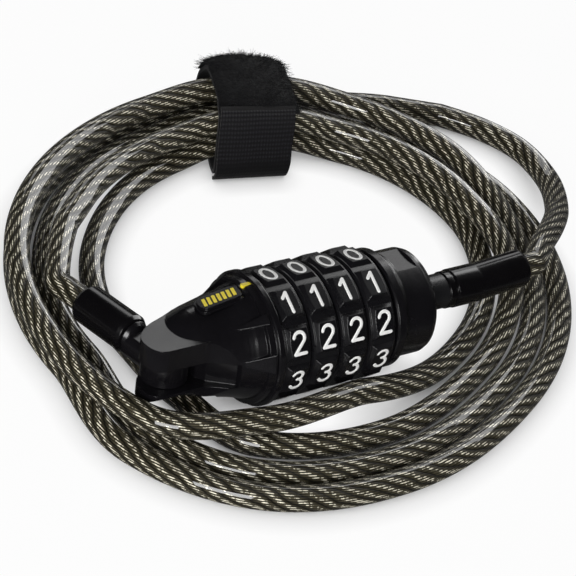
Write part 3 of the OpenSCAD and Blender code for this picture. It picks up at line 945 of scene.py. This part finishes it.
@dataclass
class CoilRoute:
    """The way that the cable lies round the coil, seen from the dials' middle."""

    diameter: float = 6.0
    pitch: float = 6.5
    track_unit: float = 6.4
    middle: Point = (15.0, 28.0)
    radius: float = 47.6
    oval: float = 3.7
    oval_turn: float = 17.0
    start: float = 38.0
    end: float = 1583.0
    start_track: float = 27.0
    stations: tuple[float, ...] = (55, 110, 155, 190, 212, 232, 262, 300, 335, 365)
    tracks: tuple[tuple[float, ...], ...] = (
        (20, 17.6, 16.8, 16.4, 25, 27, 23.6, 19.6, 19.1, 18),
        (11.4, 11, 10.3, 9.9, 17.7, 20, 17, 13.2, 12.7, 11.2),
        (13.6, 15.2, 17.2, 18.8, 20.2, 10.6, 0.3, -0.4, 0.3, 2),
        (2, 1, -0.7, -0.7, 3.6, 11.1, 9.4, 6.5, 6.4, 2.2),
        (1.4, 3.2, 5.5, 5.6),
    )
    # each climb: from one angle to another, a layer up or down
    climbs: tuple[tuple[float, float, int], ...] = ((700, 742, 1), (962, 1018, -1), (1382, 1440, 1))
    strap_turn: float = 72.0
    strap_lift: float = 1.6
    lift_flat: float = 9.0
    lift_ramp: float = 18.0
    step: float = 1.5
    end_look: float = 2.0
    knots: list[Point] = field(default_factory=list)

    def __post_init__(self) -> None:
        """Lists every station of the winding with its track."""
        self.knots = [(self.start, self.start_track)]
        for turn, row in enumerate(self.tracks):
            self.knots += [(self.stations[j] + 360 * turn, value) for j, value in enumerate(row)]

    def inner(self, angle: float) -> float:
        """Returns how far the inner track lies from the coil's middle at an angle."""
        return self.radius + self.oval * math.cos(math.radians(2 * (angle - self.oval_turn)))

    def rise(self, i: int) -> float:
        """Returns the slope of the track from one station to the next."""
        (a0, t0), (a1, t1) = self.knots[i], self.knots[i + 1]
        return (t1 - t0) / (a1 - a0)

    def slope(self, i: int) -> float:
        """Returns the track's slope at a station, level where it turns back.

        Args:
            i: The station's place in the winding.

        Returns:
            The slope, in millimetres for each degree.
        """
        if i <= 0:
            return self.rise(0)
        if i >= len(self.knots) - 1 or self.rise(i - 1) * self.rise(i) <= 0:
            return 0.0
        return 2 * self.rise(i - 1) * self.rise(i) / (self.rise(i - 1) + self.rise(i))

    def track(self, angle: float) -> float:
        """Returns how far outside the inner track the strand lies at an angle.

        Args:
            angle: Degrees along the whole winding.

        Returns:
            The distance in millimetres.
        """
        i = max(k for k in range(len(self.knots) - 1) if k == 0 or self.knots[k][0] <= angle)
        (a0, t0), (a1, t1) = self.knots[i], self.knots[i + 1]
        h = a1 - a0
        u = (angle - a0) / h
        value = (2 * u**3 - 3 * u**2 + 1) * t0 + (u**3 - 2 * u**2 + u) * h * self.slope(i)
        value += (3 * u**2 - 2 * u**3) * t1 + (u**3 - u**2) * h * self.slope(i + 1)
        return value * self.pitch / self.track_unit

    def point(self, angle: float) -> Vector:
        """Returns the middle of the cable at an angle of the winding.

        Args:
            angle: Degrees along the whole winding.

        Returns:
            The point in the level frame, in millimetres.
        """
        layers = sum(way * smoothstep((angle - a) / (b - a)) for a, b, way in self.climbs)
        off = abs((angle - self.strap_turn + 180) % 360 - 180)
        lift = self.strap_lift * (1 - smoothstep((off - self.lift_flat) / self.lift_ramp))
        turn = math.radians(angle)
        r = self.inner(angle) + self.track(angle)
        height = self.diameter / 2 + layers * self.pitch + lift
        return Vector((self.middle[0] + r * math.cos(turn), self.middle[1] + r * math.sin(turn), height))

    def ends(self) -> tuple[Vector, Vector]:
        """Returns the directions in which the coil's two ends point, away from it.

        Returns:
            The direction of its start and that of its end.
        """
        first = (self.point(self.start) - self.point(self.start + self.end_look)).normalized()
        last = (self.point(self.end) - self.point(self.end - self.end_look)).normalized()
        return first, last

    def coil(self) -> list[Vector]:
        """Returns the coil's centreline, straight for one diameter at each end.

        Returns:
            The line's points.
        """
        span = self.end - self.start
        count = round(span / self.step)
        line = [self.point(self.start + i * span / count) for i in range(count + 1)]
        first, last = self.ends()
        lead = [line[0] + first * self.diameter * t for t in (1.0, 0.75, 0.5, 0.25)]
        tail = [line[-1] + last * self.diameter * t for t in (0.25, 0.5, 0.75, 1.0)]
        return lead + line + tail


@dataclass
class Cable:
    """The whole jacketed cable, in three stretches that meet ring on ring."""

    head: HeadPlace
    route: CoilRoute
    sides: int = 28
    run_steps: int = 8
    ferrule_x: float = 37.05
    ferrule_half: float = 9.0
    ferrule_l: float = 23.5
    ferrule_kink: float = 5.0
    pin: Point = (-37.0, -0.5)
    mouth_reach: float = 27.5
    sleeve_angle: float = 78.0
    bolt_points: tuple[Triple, ...] = (
        (71, 6, 16.2),
        (80.5, 13.5, 13.4),
        (89.3, 22.3, 9.8),
        (97.3, 35.6, 6),
        (99.7, 50.4, 3.6),
        (95, 61.4, 3),
    )
    # how the hinged run leaves the coil and comes to its sleeve: the distance ahead of
    # each end, and the shift beside it
    leaves: tuple[tuple[float, Triple], ...] = ((4, (0, 0, 0)), (12, (0.5, -2.5, 0)))
    comes: tuple[tuple[float, Triple], ...] = ((10, (0.4, 0, 0.2)), (6, (0, 0, 0)))

    def bolt_run(self, coil: list[Vector]) -> list[Vector]:
        """Returns the centreline from the ferrule's mouth to the coil's start.

        Args:
            coil: The coil's centreline.

        Returns:
            The line's points.
        """
        kink = math.radians(self.ferrule_kink)
        way = Vector((math.cos(kink), 0, math.sin(kink)))
        bend = Vector((self.ferrule_x + self.ferrule_half, 0, self.head.axis_h))
        tip = bend + way * (self.ferrule_l - self.ferrule_half)
        first, _ = self.route.ends()
        chosen = [tip + way * 4] + [Vector(p) for p in self.bolt_points]
        chosen.append(coil[0] + first * self.route.diameter)
        line = through(chosen, self.run_steps)
        # straight inside the ferrule's mouth and for the last stretch before the coil
        mouth = [tip - way * 1.0, tip, tip + way * 2]
        return mouth + line + [coil[0] + first * t for t in (4.0, 2.0)] + [coil[0]]

    def hinge_run(self, coil: list[Vector]) -> list[Vector]:
        """Returns the centreline from the coil's end into the hinged sleeve's mouth.

        Args:
            coil: The coil's centreline.

        Returns:
            The line's points.
        """
        turn = math.radians(self.sleeve_angle)
        tilt = self.head.tilt()
        way = tilt @ Vector((-math.cos(turn), math.sin(turn), 0))
        pin = tilt @ Vector((*self.pin, 0)) + Vector((0, 0, self.head.axis_h))
        mouth = pin + way * self.mouth_reach
        _, last = self.route.ends()
        start = coil[-1]
        chosen = [start + last * far + Vector(shift) for far, shift in self.leaves]
        chosen += [mouth + way * far + Vector(shift) for far, shift in self.comes]
        line = through(chosen, self.run_steps)
        return [start, start + last * 2] + line + [mouth + way * t for t in (4.0, 2.0, 0.0, -2.5)]

    def tube(self, name: str, line: list[Vector], travelled: float) -> bpy.types.Object:
        """Makes a stretch of cable along a line, with its own length in its UV map.

        Args:
            name: The piece's name.
            line: The centreline round the dials' middle, in millimetres.
            travelled: Length of the cable before this stretch.

        Returns:
            The stretch, placed in the frame.
        """
        bm = bmesh.new()
        layer = bm.loops.layers.uv.new("route")
        radius = self.route.diameter / 2
        ring = bmesh.ops.create_circle(bm, cap_ends=False, radius=radius, segments=self.sides)["verts"]
        shape = [v.co.copy() for v in ring]
        reached = travelled
        for i, spot in enumerate(line):
            before, after = line[max(i - 1, 0)], line[min(i + 1, len(line) - 1)]
            way = (after - before).normalized()
            side = way.cross(Vector((0, 0, 1))).normalized()
            turn = Matrix((side, side.cross(way), way)).transposed()
            if i:
                pairs = ((ring[k], ring[(k + 1) % self.sides]) for k in range(self.sides))
                ring, _ = next_row(bm, ring, [bm.edges.get(pair) for pair in pairs])
                step = (spot - line[i - 1]).length
                for face in {f for v in ring for f in v.link_faces}:
                    self.lay_uv(face, layer, ring, reached, step)
                reached += step
            for vert, flat in zip(ring, shape):
                vert.co = spot + turn @ flat
        return finish_mesh(name, bm, self.head.floor(), JACKET, sharp=80.0)

    def lay_uv(
        self,
        face: bmesh.types.BMFace,
        layer: bmesh.types.BMLayerItem,
        ring: list[bmesh.types.BMVert],
        reached: float,
        step: float,
    ) -> None:
        """Gives a wall face its place round and along the cable.

        Args:
            face: The face between two rings.
            layer: The UV layer.
            ring: The newer ring.
            reached: Length at the older ring.
            step: Length from the older ring to the newer.
        """
        order = {v: k for k, v in enumerate(ring)}
        known = [order[v] for v in face.verts if v in order]
        # the last face of a ring runs on to a whole turn, not back to nothing
        low = max(known) if set(known) == {0, self.sides - 1} else min(known)
        for loop in face.loops:
            newer = loop.vert in order
            mates = [loop.vert] if newer else [e.other_vert(loop.vert) for e in loop.vert.link_edges]
            k = next(order[v] for v in mates if v in order)
            u = low / self.sides if k == low else (low + 1) / self.sides
            loop[layer].uv = (u, reached + (step if newer else 0))

    def build(self) -> list[bpy.types.Object]:
        """Returns:
            The coil and its two ends.
        """
        coil = self.route.coil()
        bolt, hinge = self.bolt_run(coil), self.hinge_run(coil)
        place = Matrix.Scale(MM, 4) @ self.head.floor()
        rows = (
            ("cable_bolt_run", bolt, "cable_bolt_end", "loose"),
            ("cable_coil_turns", coil, "cable_coil", "coiled"),
            ("cable_hinge_run", hinge, "cable_hinge_end", "loose"),
        )
        made = []
        travelled = 0.0
        for name, line, node, lay in rows:
            piece = self.tube(name, line, travelled)
            length = sum((b - a).length for a, b in zip(line, line[1:]))
            path = [place @ p for p in line]
            if lay == "coiled":
                # every other ring is enough for the path that the turns are measured on
                path = path[:-1:2] + path[-1:]
            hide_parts(node)
            made.append(piece)
            travelled += length
            LOG.info("%s: %.0f mm of cable", name, length)
        bolt, hinge = ([place @ p for p in line] for line in (bolt, hinge))
        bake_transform(made[0])
        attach(made[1], Body.LOCK.value)
        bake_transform(made[2])
        return made


# --- The strap -----------------------------------------------------------------------


@dataclass
class Strap:
    """The hook and loop strap round the bundle: a band, its overlapping tab and the pile."""

    head: HeadPlace
    route: CoilRoute
    width: float = 19.5
    thickness: float = 1.0
    line: tuple[Point, ...] = (
        (8, 0.6),
        (2, 0.6),
        (-4.6, 0.6),
        (-7.8, 1.7),
        (-8.6, 4.2),
        (-7.2, 8),
        (-4.8, 12),
        (-1.8, 14.6),
        (2, 15.1),
        (9, 15.3),
        (15.6, 15.1),
        (20, 13.4),
        (23.2, 9.6),
        (24.4, 5.4),
        (23.9, 2),
        (21.4, 0.7),
        (15, 0.6),
    )
    look: float = 0.05
    across: int = 12
    # the tape's own waves: their pace and depth, the share that lifts it, and from what height
    wave_pace: float = 0.16
    wave_depth: float = 0.35
    wave_lift: float = 0.6
    wave_above: float = 2.0
    skew: float = 0.12
    drift: float = 1.6
    back: float = 10.0
    band_steps: int = 6
    tab_from: float = 7.4
    tab_to: float = 2.7
    tab_steps: int = 44
    tab_off: float = 0.9
    tab_fall: float = 0.35
    tab_ease: float = 5.0
    tab_thick: float = 0.8
    tab_narrow: float = 0.1
    pile_from: float = 7.2
    pile_to: float = 12.2
    pile_height: float = 2.6
    pile_over: float = 0.4
    pile_grid: tuple[int, int] = (30, 26)
    pile_fall: Point = (2.6, 2.2)
    pile_round: float = 0.6
    # the pile's uneven top: two noises, each with its pace along and across, level and share
    tufts: tuple[tuple[float, float, float, float], ...] = ((9, 7, 0.3, 0.5), (30, 24, 1.7, 0.25))
    tuft_rise: float = 0.35
    tuft_side: float = 0.02
    fibres: int = 5200
    fibre_r: float = 0.05
    fibre_l: Point = (0.4, 1.1)
    fibre_sink: float = 0.2
    fibre_lean: Triple = (0.6, 0.6, 0.25)
    fibre_out: float = 0.5
    fibre_curl: Triple = (0.5, 0.5, 0.3)
    fibre_bend: float = 0.5
    fibre_taper: float = 0.5
    seed: int = 11

    def place(self) -> Matrix:
        """Returns the strap's frame: X outwards over the bundle, Y along the cable, Z up.

        Returns:
            The strap's place in the frame, in millimetres.
        """
        turn = math.radians(self.route.strap_turn)
        inner = self.route.inner(self.route.strap_turn)
        middle = self.head.floor() @ Matrix.Translation((*self.route.middle, 0))
        return middle @ Matrix.Rotation(turn, 4, "Z") @ Matrix.Translation((inner, 0, 0))

    def at(self, s: float) -> Vector:
        """Returns a point of the closed line, out and up, at a place in points of it."""
        i, u = math.floor(s), s - math.floor(s)
        return between(*(Vector(self.line[(i + k) % len(self.line)]) for k in (-1, 0, 1, 2)), u)

    def spot(self, s: float, out: float) -> Vector:
        """Returns a point of the band's section.

        Args:
            s: Place along the closed line, in points of it.
            out: Distance outside the band's middle.

        Returns:
            The point, with nothing along the cable.
        """
        here = self.at(s)
        way = (self.at(s + self.look) - self.at(s - self.look)).normalized()
        return Vector((here.x - way.y * out, 0, here.y + way.x * out))

    def ribbon(
        self,
        name: str,
        stops: list[Point],
        closed: bool,
        thickness: float,
        finish: Finish,
        narrow: float = 0.0,
    ) -> bpy.types.Object:
        """Makes a stretch of tape from its section line.

        Args:
            name: The piece's name.
            stops: Place along the line and distance outside it, for each point.
            closed: Whether the tape closes on itself.
            thickness: The tape's thickness.
            finish: Its finish.
            narrow: How much narrower than the strap it is, on each side.

        Returns:
            The tape, placed in the frame.
        """
        bm = bmesh.new()
        layer = bm.loops.layers.uv.new("route")
        half = self.width / 2 - narrow
        verts = [bm.verts.new(self.spot(s, out) + Vector((0, -half, 0))) for s, out in stops]
        pairs = list(zip(verts, verts[1:])) + ([(verts[-1], verts[0])] if closed else [])
        edges = [bm.edges.new(pair) for pair in pairs]
        walked = [0.0]
        for a, b in pairs:
            walked.append(walked[-1] + (b.co - a.co).length)
        rows = [verts]
        for _ in range(self.across):
            row, edges = next_row(bm, rows[-1], edges)
            rows.append(row)
            bmesh.ops.translate(bm, verts=row, vec=(0, 2 * half / self.across, 0))
        where = {v: (i, k) for i, row in enumerate(rows) for k, v in enumerate(row)}
        for face in bm.faces:
            spans = [where[v][1] for v in face.verts]
            wraps = closed and max(spans) - min(spans) > 1
            for loop in face.loops:
                i, k = where[loop.vert]
                far = wraps and k == 0
                loop[layer].uv = (walked[-1] if far else walked[k], i * 2 * half / self.across)
        for vert in bm.verts:
            wave = noise.noise(vert.co * self.wave_pace) * self.wave_depth
            edge = abs(vert.co.y) / half
            vert.co.z += wave * self.wave_lift * (1.0 if vert.co.z > self.wave_above else 0.0)
            vert.co.y += wave * edge * (1 if vert.co.y > 0 else -1)
            self.twist(vert.co)
        bmesh.ops.recalc_face_normals(bm, faces=bm.faces)
        bmesh.ops.solidify(bm, geom=bm.faces[:], thickness=thickness)
        piece = finish_mesh(name, bm, self.place(), finish, sharp=50.0)
        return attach(piece, Body.LOCK.value)

    def twist(self, spot: Vector) -> None:
        """Pulls the band's front askew along the cable, as a strap that was closed by hand.

        Args:
            spot: The point of the tape that moves.
        """
        share = 1 - smoothstep((spot.x + self.back) / (2 * self.back))
        spot.x -= self.skew * spot.y * share
        spot.y += self.drift * share

    def pile_spot(self, u: float, out: float) -> Vector:
        """Returns a point over the band's middle, u from 0 to 1 along the pile."""
        return self.spot(self.pile_from + (self.pile_to - self.pile_from) * u, out)

    def hill(self, u: float, v: float) -> Vector:
        """Returns a point of the pile's uneven top.

        Args:
            u: 0 to 1 along the band.
            v: -1 to 1 across it.

        Returns:
            The point in the strap's frame.
        """
        along, over = self.pile_fall
        dome = max(0.0, 1 - abs(2 * u - 1) ** along) * max(0.0, 1 - abs(v) ** over)
        rough = sum(noise.noise(Vector((u * a, v * b, c))) * share for a, b, c, share in self.tufts)
        lift = self.pile_height * dome**self.pile_round * (1 + self.tuft_rise * rough)
        half = self.width / 2 + self.pile_over
        spot = self.pile_spot(u, self.thickness / 2 + lift)
        return spot + Vector((0, v * half * (1 + self.tuft_side * rough), 0))

    def fibre(self, rng: random.Random, into: bpy.types.Curve) -> None:
        """Adds one loose fibre that stands up from the pile's top.

        Args:
            rng: The source of its place and shape.
            into: The curve that gets it.
        """
        u, v = rng.random(), rng.uniform(-1, 1)
        root = self.hill(u, v)
        up = (root - self.pile_spot(u, 0.0)).normalized()
        x, y, z = (rng.gauss(0, spread) for spread in self.fibre_lean)
        lean = Vector((x, y + self.fibre_out * v**3, z))
        length = rng.uniform(*self.fibre_l)
        curl = Vector([rng.gauss(0, spread) for spread in self.fibre_curl])
        spline = into.splines.new("POLY")
        spline.points.add(2)
        for k, spot in enumerate(spline.points):
            t = k / 2
            bend = curl * length * self.fibre_bend * t * t
            spot.co = (*(root - up * self.fibre_sink + (up + lean * t) * length * t + bend), 1.0)
            spot.radius = 1.0 - self.fibre_taper * t

    def mound(self) -> bpy.types.Object:
        """Makes the brushed loops that stand up on top of the band.

        Returns:
            The pile, riding on the lock.
        """
        bm = bmesh.new()
        along, over = self.pile_grid
        grid = bmesh.ops.create_grid(bm, x_segments=along, y_segments=over, size=0.5)["verts"]
        for vert in grid:
            vert.co = self.hill(vert.co.x + 0.5, vert.co.y * 2)
        bmesh.ops.recalc_face_normals(bm, faces=bm.faces)
        base = finish_mesh("strap_pile", bm, self.place(), PILE, sharp=80.0)
        rng = random.Random(self.seed)
        curve = round_pen("fibres", self.fibre_r, 0)
        for _ in range(self.fibres):
            self.fibre(rng, curve)
        joined = bmesh.new()
        joined.from_mesh(base.data)
        add_strokes(joined, curve, Matrix.Scale(MM, 4) @ self.place())
        joined.to_mesh(base.data)
        joined.free()
        bpy.data.curves.remove(curve)
        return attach(base, Body.LOCK.value)

    def build(self) -> list[bpy.types.Object]:
        """Returns:
            The pieces.
        """
        n = len(self.line)
        count = n * self.band_steps
        turn = [(n * i / count, 0.0) for i in range(count)]
        band = self.ribbon("strap_band", turn, True, self.thickness, BAND_TAPE)
        stops = []
        for i in range(self.tab_steps + 1):
            s = self.tab_from + (self.tab_to - self.tab_from) * i / self.tab_steps
            ease = smoothstep((i / self.tab_steps) * self.tab_ease)
            stops.append((s, self.thickness + self.tab_off - self.tab_fall * ease))
        thin = self.thickness * self.tab_thick
        tab = self.ribbon("strap_tab", stops, False, thin, HOOK_TAPE, self.tab_narrow)
        pile = self.mound()
        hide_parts("strap")
        return [band, tab, pile]


# --- The rigid parts -----------------------------------------------------------------


@dataclass
class RigidParts:
    """The CAD solids that stay, each with its finish."""

    finishes: dict[str, Finish] = field(
        default_factory=lambda: {
            "housing": NYLON,
            "end_collar": CAP_PLASTIC,
            "spindle": BRASS,
            "thrust_washer": STEEL,
            "snap_ring": STEEL,
            "hinge_pin": STEEL,
            "bolt_rod": BOLT_COAT,
            "bolt_ferrule": VINYL,
            "terminal_eye": NYLON,
            "terminal_sleeve": VINYL,
            **{f"dial_{i}": DIAL_PLASTIC for i in range(1, DIALS + 1)},
            **{f"code_ring_{i}": BRASS for i in range(1, DIALS + 1)},
        }
    )

    def dress(self) -> None:
        """Puts each solid's finish in its material slots."""
        for name, finish in self.finishes.items():
            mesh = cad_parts[name].data
            mesh.materials.clear()
            mesh.materials.append(finish.material())
            LOG.info("%s: %s", name, finish.name)


# --- The stage -----------------------------------------------------------------------


@dataclass
class Studio:
    """A pale floor in a white room, soft lamps, reflection cards and the camera."""

    head: HeadPlace
    camera_mm: Triple = (-283.35, -318.31, 381.5)
    heading: float = 40.846
    elevation: float = 40.0
    roll: float = 15.843
    focus_px: float = 2492.0
    picture_px: float = 576.0
    white: float = 1.0
    room_light: float = 0.12
    floor_m: float = 4.0
    floor_tone: float = 0.86
    floor_glow: float = 0.95
    # painted contact shadow: how far and how finely the floor's glow is cut near things
    painted_shadow_mm: float = 6.0
    painted_shadow_samples: int = 8
    screen_m: float = 2.4
    screen_foot_m: float = -0.05
    screen_glow: float = 0.004
    table_h_mm: float = 0.02
    table_glow: float = 0.07
    box_m: float = 1.5
    # each soft box: its turn, rise, half width and half height in degrees, and its light
    boxes: tuple[tuple[float, float, float, float, float], ...] = (
        (22.0, 24.0, 22.0, 24.0, 4.0),
        (60.0, 24.5, 20.0, 7.0, 1.75),
    )
    # the flag is a stretch of a round wall beside the coil, between two angles from X
    flag_middle: Point = (15.0, 28.0)
    flag_turn: Point = (-75.0, 15.0)
    flag_r: float = 106.0
    flag_h: float = 85.0
    flag_steps: int = 16
    # each lamp: its name, its place and side in metres, its watts, and whether gloss shows it
    lamps: tuple[tuple[str, Triple, float, float, bool], ...] = (
        ("back_lamp", (0.1, 0.82, 0.86), 0.5, 1.2, False),
        ("side_lamp", (-0.95, -0.1, 0.65), 0.6, 5.0, False),
        ("front_lamp", (-0.62, -0.82, 0.45), 0.5, 8.6, True),
    )
    lamp_aim: Triple = (0, 0.02, 0)

    def camera(self) -> None:
        """Sets the camera up, aimed by its heading, elevation and roll."""
        data = bpy.data.cameras.new("camera")
        data.sensor_width = 36.0
        data.lens = data.sensor_width * self.focus_px / self.picture_px
        data.clip_start, data.clip_end = 0.01, 50.0
        eye = bpy.data.objects.new("camera", data)
        level, turn = math.radians(self.elevation), math.radians(self.heading)
        flat = math.cos(level)
        ahead = Vector((math.sin(turn) * flat, math.cos(turn) * flat, -math.sin(level)))
        spin = Quaternion((0, 0, 1), math.radians(self.roll))
        eye.rotation_mode = "QUATERNION"
        eye.rotation_quaternion = ahead.to_track_quat("-Z", "Y") @ spin
        eye.location = (self.head.floor() @ Vector(self.camera_mm)) * MM
        bpy.context.scene.collection.objects.link(eye)
        bpy.context.scene.camera = eye

    def seen(self, tree: Tree) -> Node:
        """Adds the test for rays that show the background.

        Args:
            tree: The tree that gets the test.

        Returns:
            A node that is 1 for a camera, glossy or glass ray and 0 for others.
        """
        rays = add_node(tree, "LightPath").outputs
        both = {0: rays["Is Camera Ray"], 1: rays["Is Glossy Ray"]}
        both = add_node(tree, "Math", both, operation="MAXIMUM")
        glass = {0: both, 1: rays["Is Transmission Ray"]}
        return add_node(tree, "Math", glass, operation="MAXIMUM")

    def world(self) -> None:
        """Makes a white surround that lights the object at a plain level."""
        world = bpy.data.worlds.new("white_room")
        world.use_nodes = True
        tree = world.node_tree
        level = add_node(tree, "MapRange", {
            "Value": self.seen(tree), "To Min": self.room_light, "To Max": self.white,
        })
        feed(tree, tree.nodes["Background"], {"Color": (1, 1, 1, 1), "Strength": level})
        bpy.context.scene.world = world

    def bare(self, name: str) -> bpy.types.Material:
        """Returns a new material with no nodes.

        Args:
            name: The material's name.

        Returns:
            The material.
        """
        made = bpy.data.materials.new(name)
        made.use_nodes = True
        made.node_tree.nodes.clear()
        return made

    def prop(self, name: str, bm: bmesh.types.BMesh, skin: bpy.types.Material) -> bpy.types.Object:
        """Makes a thing of the stage, which isn't part of the lock.

        Args:
            name: Its name.
            bm: Its shape in metres, which is freed.
            skin: Its material.

        Returns:
            The new object.
        """
        mesh = bpy.data.meshes.new(name)
        bm.to_mesh(mesh)
        bm.free()
        mesh.materials.append(skin)
        made = bpy.data.objects.new(name, mesh)
        bpy.context.scene.collection.objects.link(made)
        return made

    def floor(self) -> None:
        """Lays the pale floor, which shows white, keeps the object's shadow and gets a painted contact
        shadow near it.
        """
        bm = bmesh.new()
        bmesh.ops.create_grid(bm, x_segments=2, y_segments=2, size=self.floor_m)
        paper = self.bare("white_paper")
        tree = paper.node_tree
        matt = add_node(tree, "BsdfDiffuse", {"Color": (*[self.floor_tone] * 3, 1)})
        glow = add_node(tree, "Emission", {"Strength": self.white})
        # painted contact shadow: the paper glows less where something stands close over it
        reach = {"Distance": self.painted_shadow_mm * MM}
        painted_shadow_ao = add_node(tree, "AmbientOcclusion", reach, samples=self.painted_shadow_samples)
        share = {0: self.seen(tree), 1: self.floor_glow}
        share = {0: add_node(tree, "Math", share, operation="MULTIPLY"), 1: painted_shadow_ao.outputs["AO"]}
        share = add_node(tree, "Math", share, operation="MULTIPLY")
        mixed = add_node(tree, "MixShader", {0: share, 1: matt, 2: glow})
        add_node(tree, "OutputMaterial", {"Surface": mixed})
        self.prop("floor", bm, paper)

    def card(self, name: str, bm: bmesh.types.BMesh, glow: float) -> None:
        """Turns a bmesh in metres into a card that only reflections show.

        Args:
            name: The card's name.
            bm: Its shape, which is freed.
            glow: Its light.
        """
        cloth = self.bare(name)
        face = add_node(cloth.node_tree, "Emission", {"Strength": glow})
        add_node(cloth.node_tree, "OutputMaterial", {"Surface": face})
        card = self.prop(name, bm, cloth)
        card.visible_camera = card.visible_diffuse = False
        card.visible_shadow = card.visible_transmission = False

    def screens(self) -> None:
        """Puts black screens round the lock, soft boxes before them, a dark table and a flag."""
        room = bmesh.new()
        bmesh.ops.create_icosphere(room, subdivisions=4, radius=self.screen_m)
        below = [f for f in room.faces if f.calc_center_median().z < self.screen_foot_m]
        bmesh.ops.delete(room, geom=below, context="FACES")
        self.card("black_screens", room, self.screen_glow)
        table = bmesh.new()
        bmesh.ops.create_grid(table, x_segments=1, y_segments=1, size=self.screen_m / 2)
        bmesh.ops.translate(table, verts=table.verts, vec=(0, 0, self.table_h_mm * MM))
        self.card("dark_table", table, self.table_glow)
        for i, (turn, rise, half_turn, half_rise, glow) in enumerate(self.boxes, 1):
            way = Vector((1, 0, 0))
            way.rotate(Euler((0, -math.radians(rise), math.radians(turn))))
            wide, high = (2 * self.box_m * math.tan(math.radians(a)) for a in (half_turn, half_rise))
            facing = way.to_track_quat("Z", "Y").to_matrix().to_4x4()
            place = Matrix.Translation(way * self.box_m) @ facing @ Matrix.Diagonal((wide, high, 1, 1))
            box = bmesh.new()
            bmesh.ops.create_grid(box, x_segments=1, y_segments=1, size=0.5, matrix=place)
            self.card(f"soft_box_{i}", box, glow)
        self.flag()

    def flag(self) -> None:
        """Stands a black flag beside the coil, which keeps the soft boxes out of its gloss."""
        flag = bmesh.new()
        first, last = (math.radians(a) for a in self.flag_turn)
        foot = flag.verts.new((self.flag_r * math.cos(first), self.flag_r * math.sin(first), 0))
        bmesh.ops.spin(
            flag,
            geom=[foot],
            axis=(0, 0, 1),
            cent=(0, 0, 0),
            angle=last - first,
            steps=self.flag_steps,
        )
        grown = bmesh.ops.extrude_edge_only(flag, edges=flag.edges[:])["geom"]
        top = [g for g in grown if isinstance(g, bmesh.types.BMVert)]
        bmesh.ops.translate(flag, verts=top, vec=(0, 0, self.flag_h))
        place = self.head.floor() @ Matrix.Translation((*self.flag_middle, 0))
        bmesh.ops.transform(flag, matrix=Matrix.Scale(MM, 4) @ place, verts=flag.verts)
        self.card("black_flag", flag, self.screen_glow)

    def lamp(self, name: str, place: Triple, size: float, power: float, shines: bool) -> None:
        """Adds a soft square lamp that points at the lock.

        Args:
            name: The lamp's name.
            place: Its place in metres.
            size: Its side in metres.
            power: Its power in watts.
            shines: Whether glossy surfaces show it.
        """
        data = bpy.data.lights.new(name, "AREA")
        data.size = size
        data.energy = power
        lamp = bpy.data.objects.new(name, data)
        lamp.location = place
        lamp.rotation_mode = "QUATERNION"
        lamp.rotation_quaternion = (Vector(self.lamp_aim) - Vector(place)).to_track_quat("-Z", "Y")
        lamp.visible_glossy = shines
        bpy.context.scene.collection.objects.link(lamp)

    def build(self) -> None:
        """Sets up the view, the room, the floor and the lamps."""
        bpy.context.scene.view_settings.view_transform = "Standard"
        self.camera()
        self.world()
        self.floor()
        self.screens()
        for row in self.lamps:
            self.lamp(*row)


def main() -> None:
    """Builds the studio, the cable, the strap, the dials and the head's marks."""
    logging.basicConfig(level=logging.INFO, format="%(name)s: %(message)s")
    bpy.context.view_layer.update()
    head = HeadPlace()
    Studio(head).build()
    route = CoilRoute()
    pieces = Cable(head, route).build() + Strap(head, route).build()
    RigidParts().dress()
    style = NumberStyle()
    pieces += [NumberDial(i, head, style).build() for i in range(1, DIALS + 1)]
    pieces += HeadMarks(head).build()
    for piece in pieces:
        LOG.info("%s: %d faces", piece.name, len(piece.data.polygons))
    bpy.context.view_layer.update()


if __name__ == "__main__":
    main()
